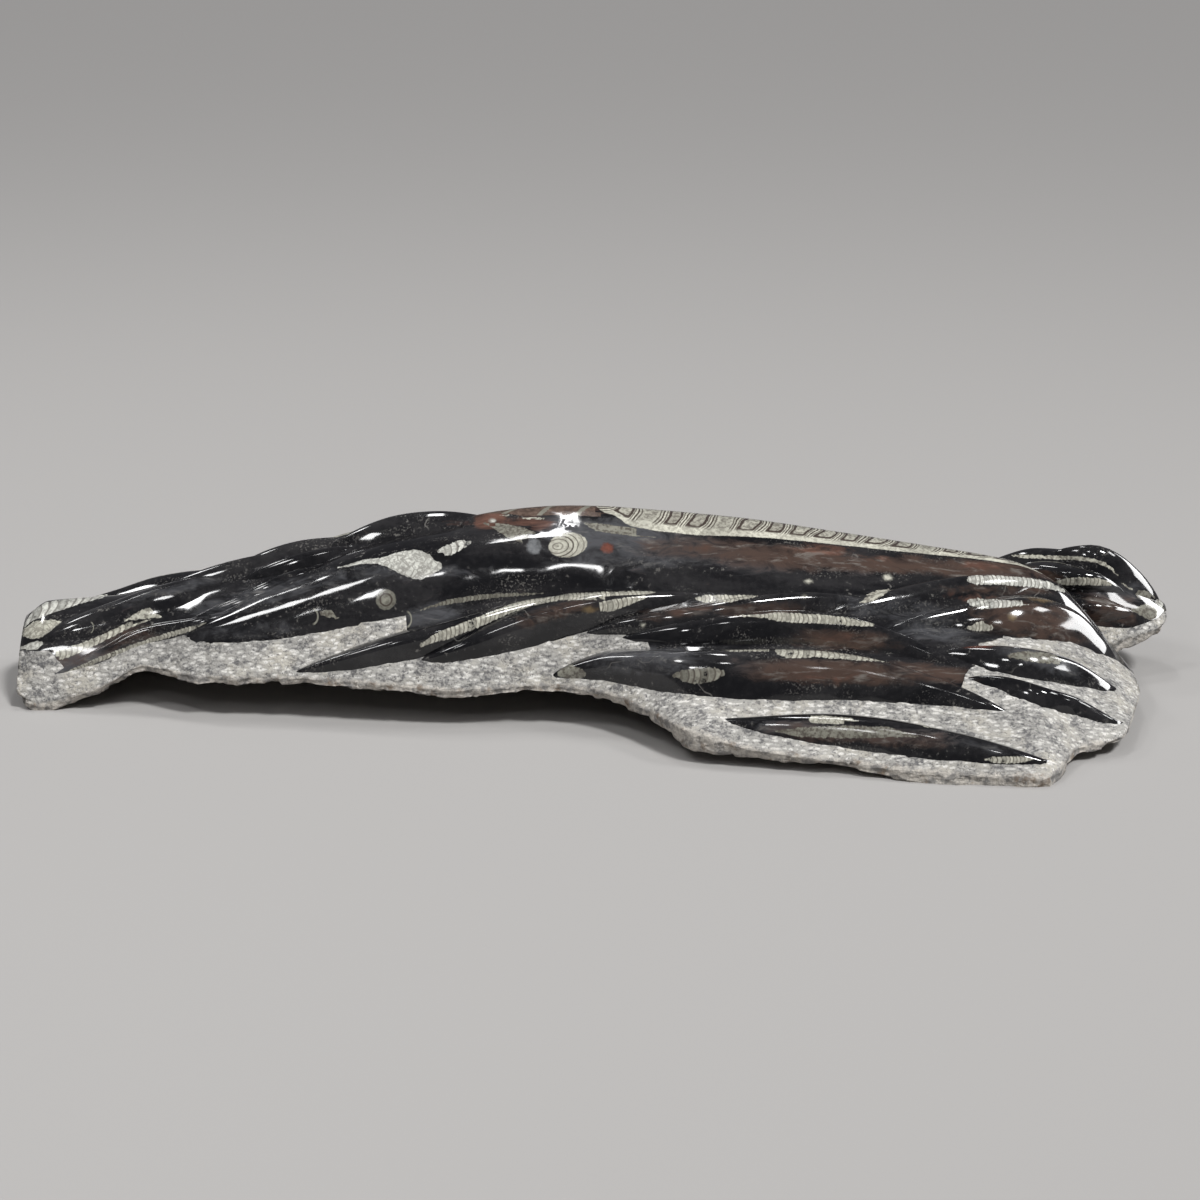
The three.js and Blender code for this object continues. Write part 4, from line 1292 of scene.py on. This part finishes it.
def draw_marks(tree, place, colour):
    """The shells' insides on top of the stone. Returns the colour and how much of a mark there is."""
    along, across, _ = parts_of(attribute(tree, MARK))
    kind, pitch, half = parts_of(attribute(tree, MAKE))
    length = attribute(tree, MAKE, "Alpha")
    tint = attribute(tree, TINT, "Color")
    ragged = clouds(place, 2.2, 2.0) - 0.5
    worn = clouds(place, 6, 4.0, 0.68)
    pale = scaled(tint, 0.50 + worn * 1.0)
    beyond = larger(-along, along - length, along * 0) / half
    off = (across * across + beyond * beyond) ** 0.5
    edge = (1 - off) * half
    mottle = step(clouds(place, 2.6, 3.0, 0.6), 0.42, 0.62)

    def is_kind(*names):
        found = [kind.math("COMPARE", kind, float(KINDS.index(name)), 0.5) for name in names]
        return found[0] if len(found) == 1 else found[0] + is_kind(*names[1:])

    def draw(cover, name, drawing):
        nonlocal colour
        colour = mixed(cover * is_kind(name), colour, drawing)

    def inked(amount, ground):
        return mixed(amount, ground, LINE_BROWN)

    def inside(depth, rough=1.6):
        return step(depth + ragged * rough, -0.1, 0.5)

    def repeats(value):
        """How far along its chamber a place is, from 0 to 1, and that chamber's chance."""
        whole = value.math("FLOOR", value)
        return value - whole, chance_of(whole)

    def from_wall(place_in):
        return place_in.math("MINIMUM", place_in, 1 - place_in) * pitch

    # ladders of thin chamber walls
    place_in, chance = repeats((along + (clouds(place, 16, 1.0) - 0.5) * 4) / pitch + off * off * 0.35)
    wall = step(abs(place_in - 0.5) + ragged * 0.2, 0.27, 0.40)
    rungs = inked(larger(wall * (0.3 + chance * 0.5), mottle * 0.4), scaled(pale, 0.7 + chance * 0.5))
    kept = step(worn + chance * 0.12, 0.36, 0.46)
    draw(inside(edge - wall * 0.2, 2.6) * kept, "chambers", rungs)

    # the great shell: curved walls, and in each chamber a dark D-shaped line
    place_in, chance = repeats((along + (clouds(place, 22, 1.0) - 0.5) * 9) / pitch + off * off * 0.6)
    to_wall = from_wall(place_in)
    depth = to_wall.math("SMOOTH_MIN", to_wall, edge - 1.2, 3.0) + ragged * 1.2
    above_band = step(across, -0.86, -0.70)
    ring = step(abs(depth - 3.4 - chance), 1.4, 0.6) * step(chance, 0.2, 0.3)
    second = step(abs(to_wall + ragged - 2.2), 0.75, 0.3) * 0.8
    wall = step(to_wall + ragged * 0.8, 0.85, 0.3)
    heart = step(depth, 4.0, 5.0)
    fill = inked(heart * (0.2 + step(chance, 0.7, 0.8) * 0.25), scaled(pale, 0.9 + chance * 0.4))
    fill = inked(mottle * (0.35 + heart * 0.2), fill)
    draw(inside(edge, 1.0), "loops", inked(larger(ring, second, wall) * above_band * 0.95, fill))

    # reddish rooms between slanting pale walls
    place_in, chance = repeats((along + ragged * 2) / pitch - across * 0.32)
    fill = inked(mottle * 0.55, scaled(ROOM_RED, worn * 2.2))
    walls = step(from_wall(place_in) + ragged * 2, 2.4, 1.6) * 0.9
    draw(inside(edge, 1.0), "rooms", mixed(walls, fill, pale))

    # plain calcite, and calcite crossed by dark cracks
    draw(inside(edge, 3.0), "plain", inked(mottle * 0.65, pale))
    crack = step(cells(place, 5.0, "DISTANCE_TO_EDGE") + ragged * 0.12, 0.10, 0.02)
    draw(inside(edge, 2.0), "cracked", inked(larger(crack * 0.5, mottle * 0.5), pale))

    # discs
    radius = (along * along + across * across) ** 0.5
    from_rim = (1 - radius) * half
    disc_part = inside(from_rim, 1.6)
    groove = step(abs(radius + ragged * 0.15 - 0.56), 0.12, 0.05)
    draw(disc_part, "rings", inked(larger(groove * 0.8, mottle * 0.45), scaled(pale, 1.25 - radius * 0.55)))
    sliver = step(radius, 0.66, 0.76) * step(radius, 1.0, 0.88) * step(along, -0.1, 0.4)
    draw(sliver, "crescent", pale)
    shifted = along + 0.5
    place_in, chance = repeats((shifted * shifted + across * across * 0.9) ** 0.5 / pitch + ragged * 0.35)
    arc = step(abs(place_in - 0.5), 0.26, 0.40) * (0.35 + chance * 0.6)
    draw(disc_part, "arcs", inked(larger(arc, mottle * 0.3), pale))
    shade = scaled(tint, 1.3 - radius * 0.6 + (worn - 0.5) * 2.8)
    draw(step(from_rim + ragged * 3, -0.6, 2.0) * 0.85, "ball", shade)

    strips = inside(edge) * is_kind("chambers", "loops", "rooms", "plain", "cracked")
    return colour, strips + disc_part * is_kind("rings", "arcs", "ball")


print(len(KINDS) - 1, "kinds of drawing")

# %% [markdown]
# ## Polished limestone
#
# The stains and the drawings lie on the bare stone in that order. The polish itself is a low roughness; pale
# calcite is a little duller, and a faint wave in the surface keeps the reflections from being perfect, as on
# any hand-polished stone.

# %% Polished limestone
CALCITE_IOR = 1.5
WAVE_DEPTH = 2.2 * MM


def finish_polished(material):
    tree, shader = shader_of(material)
    shader.inputs["IOR"].default_value = CALCITE_IOR
    place = object_place(tree)
    colour, drawn, fine = bare_stone(place)
    colour, staining = stained(tree, place, colour, drawn)
    colour, coverage = draw_marks(tree, place, colour)
    roughness = 0.05 + fine * 0.05 + coverage * 0.05 + staining * 0.03
    wave = clouds(place, 48, 1.0) + clouds(place, 18, 1.0) * 0.1 + clouds(place, 3, 2.0) * 0.004
    return wear(tree, shader, colour, roughness, wave, 1.0, WAVE_DEPTH)


print("nodes in the polished limestone:", finish_polished(polished))

# %% [markdown]
# ## Chiselled matrix
#
# A bush chisel bruises the stone. Each blow leaves a crushed spot, nearly white, and the dark rock shows as
# fine pepper between the blows; the mason's strokes all lean the same way. On the split edges and the
# underside there are no blows, only rock of a browner grey with cream and iron stains and coarse grain, whose
# colours are also made darker as painted shade. Where the polish ends, the line between the two finishes runs
# through the faces, so this material draws the last strip of bare polished stone itself, as far as the kept
# distance to that line says.

# %% Chiselled matrix
CRUSHED = (0.78, 0.76, 0.715)
PALE_ROCK = (0.43, 0.418, 0.39)
DARK_ROCK = (0.155, 0.152, 0.152)
PEPPER = (0.075, 0.073, 0.073)
CREAM_ROCK = (0.52, 0.485, 0.41)
# the split faces' colours, made darker partly as painted shade
SHADED_SPLIT_GREY = (0.20, 0.192, 0.182)
SHADED_SPLIT_CREAM = (0.46, 0.43, 0.385)
SHADED_SPLIT_BROWN = (0.17, 0.125, 0.085)
PIT_DEPTH = 1.4 * MM


def chiselled(place):
    """Colour and height of the worked rock."""
    strokes = stretched(place, (0.5, 1.0, 1.0), (0.0, 0.5, 0.8))
    blow = cells(strokes, 3.0)
    pepper = clouds(place, 2.4, 3.0, 0.7)
    blotch = clouds(place, 10, 4.0, 0.62)
    wide = clouds(place, 30, 4.0, 0.6)
    colour = mixed(step(pepper + (blotch - 0.5) * 0.5, 0.36, 0.56), DARK_ROCK, PALE_ROCK)
    cream = mixed(step(pepper, 0.34, 0.52), PALE_ROCK, CREAM_ROCK)
    colour = mixed(step(wide, 0.45, 0.65) * 0.6, colour, cream)
    crushed = step(blow + (pepper - 0.5) * 1.6, 0.50, 0.22) * step(blotch + (pepper - 0.5) * 0.6, 0.34, 0.50)
    specks = step(clouds(place, 1.6, 2.0, 0.6) + (blotch - 0.5) * 0.25, 0.40, 0.33)
    colour = mixed(specks * 0.75, mixed(crushed * 0.95, colour, CRUSHED), PEPPER)
    return scaled(colour, clouds(place, 60, 4.0, 0.6) * 1.1 + 0.31), blow + pepper * 0.5 + blotch * 0.5


# the split faces' colour: browner rock, darkened partly as painted shade
def shaded_split_rock(place):
    grain = clouds(place, 2.0, 4.0, 0.7)
    colour = mixed(step(clouds(place, 9, 5.0, 0.68), 0.40, 0.56), SHADED_SPLIT_GREY, SHADED_SPLIT_CREAM)
    colour = mixed(step(clouds(place, 12, 4.0, 0.65), 0.54, 0.68) * 0.8, colour, SHADED_SPLIT_BROWN)
    return scaled(colour, 0.2 + grain * 1.6), grain


def finish_matrix(material):
    tree, shader = shader_of(material)
    place = object_place(tree)
    depth, broken, _ = parts_of(attribute(tree, FINISH))
    worked, height = chiselled(place)
    split, grain = shaded_split_rock(place)
    # split faces and the underside get the darker split colour, partly painted shade
    colour = mixed(step(broken + (grain - 0.5) * 1.2, 0.35, 0.80), worked, split)
    bare, drawn, fine = bare_stone(place)
    bare, _ = stained(tree, place, bare, drawn)
    shine = step(depth + (height - 1.0) * 0.015, -0.008, 0.002)
    pits = (height + grain * 0.5) * (1 - shine)
    return wear(tree, shader, mixed(shine, colour, bare), 0.88 - shine * 0.78, pits, 0.9, PIT_DEPTH)


print("nodes in the chiselled matrix:", finish_matrix(matrix))

# %% [markdown]
# ## Floor and light
#
# A plain pale floor and soft light. Polished stone shows the lights themselves, so their places matter: each
# cone gets its bright streak where its slope turns a lamp towards the eye. Three small lamps in front draw
# the streaks of the slopes that face the eye, a larger one on the left those of the left tips, and two behind
# light the crest. Two panels beside the slab whiten its right-hand end, and the larger of them shows in the
# polish alone, so that it doesn't light the floor. A wide sun with soft shadows lights the matrix and the
# floor evenly, near and far.

# %% Floor and light
FLOOR_COLOUR = (0.40, 0.39, 0.38)
# turn from the eye to the right, height and roll in degrees, distance and size in metres, radiance
LAMPS = {
    "front_left": (-18, 33, 0, 2.2, (0.17, 0.16), 34),
    "front_right": (12, 38, 0, 2.2, (0.14, 0.09), 34),
    "front_high": (-6, 48, 0, 2.2, (0.14, 0.14), 30),
    "flank": (-49, 52, 0, 2.2, (0.36, 0.30), 24),
    "crest": (-127, 47, 0, 2.2, (0.27, 0.24), 24),
    "zenith": (-175.5, 71, 0, 2.2, (0.13, 0.60), 28),
    "beside": (100, 24, 18, 1.6, (1.70, 0.52), 19),
    "beside_high": (84, 49, 0, 2.0, (0.50, 0.32), 18),
}
LAMP_AIM = Vector((0, 0, 0.06))
BESIDE_AIM = Vector((0.35, -0.02, 0.05))     # the lamps beside the slab look at its right-hand end
SUN_PLACE = (40, 54)
SUN_STRENGTH = 2.5
SUN_ANGLE = math.radians(10)
SKY_COLOUR = (0.13, 0.13, 0.14)
FLOOR_REACH = 9            # metres from the stone, so that its far edge stays out of sight


def direction(turn, height):
    turn, height = math.radians(turn), math.radians(height)
    return Vector((math.sin(turn) * math.cos(height), -math.cos(turn) * math.cos(height), math.sin(height)))


def add_light(name, kind, place, aim, roll=0):
    data = bpy.data.lights.new(name, kind)
    light = bpy.data.objects.new(name, data)
    light.location = place
    turned = (aim - place).to_track_quat("-Z", "Y") @ Quaternion((0, 0, 1), math.radians(roll))
    light.rotation_euler = turned.to_euler()
    show(light)
    return light


for name, (turn, height, roll, distance, size, radiance) in LAMPS.items():
    aim = BESIDE_AIM if name.startswith("beside") else LAMP_AIM
    light = add_light(name, "AREA", aim + direction(turn, height) * distance, aim, roll)
    light.visible_diffuse = name != "beside"     # the large panel is there for the polish alone
    lamp = light.data
    lamp.shape = "RECTANGLE"
    lamp.size, lamp.size_y = size
    lamp.energy = radiance * math.pi * size[0] * size[1]
sun = add_light("sun", "SUN", LAMP_AIM + direction(*SUN_PLACE) * 2, LAMP_AIM).data
sun.energy = SUN_STRENGTH
sun.angle = SUN_ANGLE

bpy.context.scene.view_settings.view_transform = "Standard"
world = bpy.data.worlds.new("studio")
bpy.context.scene.world = world
world.use_nodes = True
world.node_tree.nodes["Background"].inputs[0].default_value = solid(SKY_COLOUR)
floor_corners = [(x * FLOOR_REACH, y * FLOOR_REACH, 0) for x, y in ((-1, -1), (1, -1), (1, 1), (-1, 1))]
floor = bpy.data.objects.new("floor", make_mesh("floor", floor_corners, [(0, 1, 2, 3)]))
floor_material = bpy.data.materials.new("floor")
floor.data.materials.append(floor_material)
_, floor_shader = shader_of(floor_material)
for name, value in (("Base Color", solid(FLOOR_COLOUR)), ("Roughness", 1.0), ("Specular IOR Level", 0.0)):
    floor_shader.inputs[name].default_value = value
show(floor)
print(len(LAMPS), "lamps and a sun")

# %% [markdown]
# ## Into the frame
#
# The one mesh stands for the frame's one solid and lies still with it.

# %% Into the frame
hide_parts("fossil_plate")
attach(stone, "root")
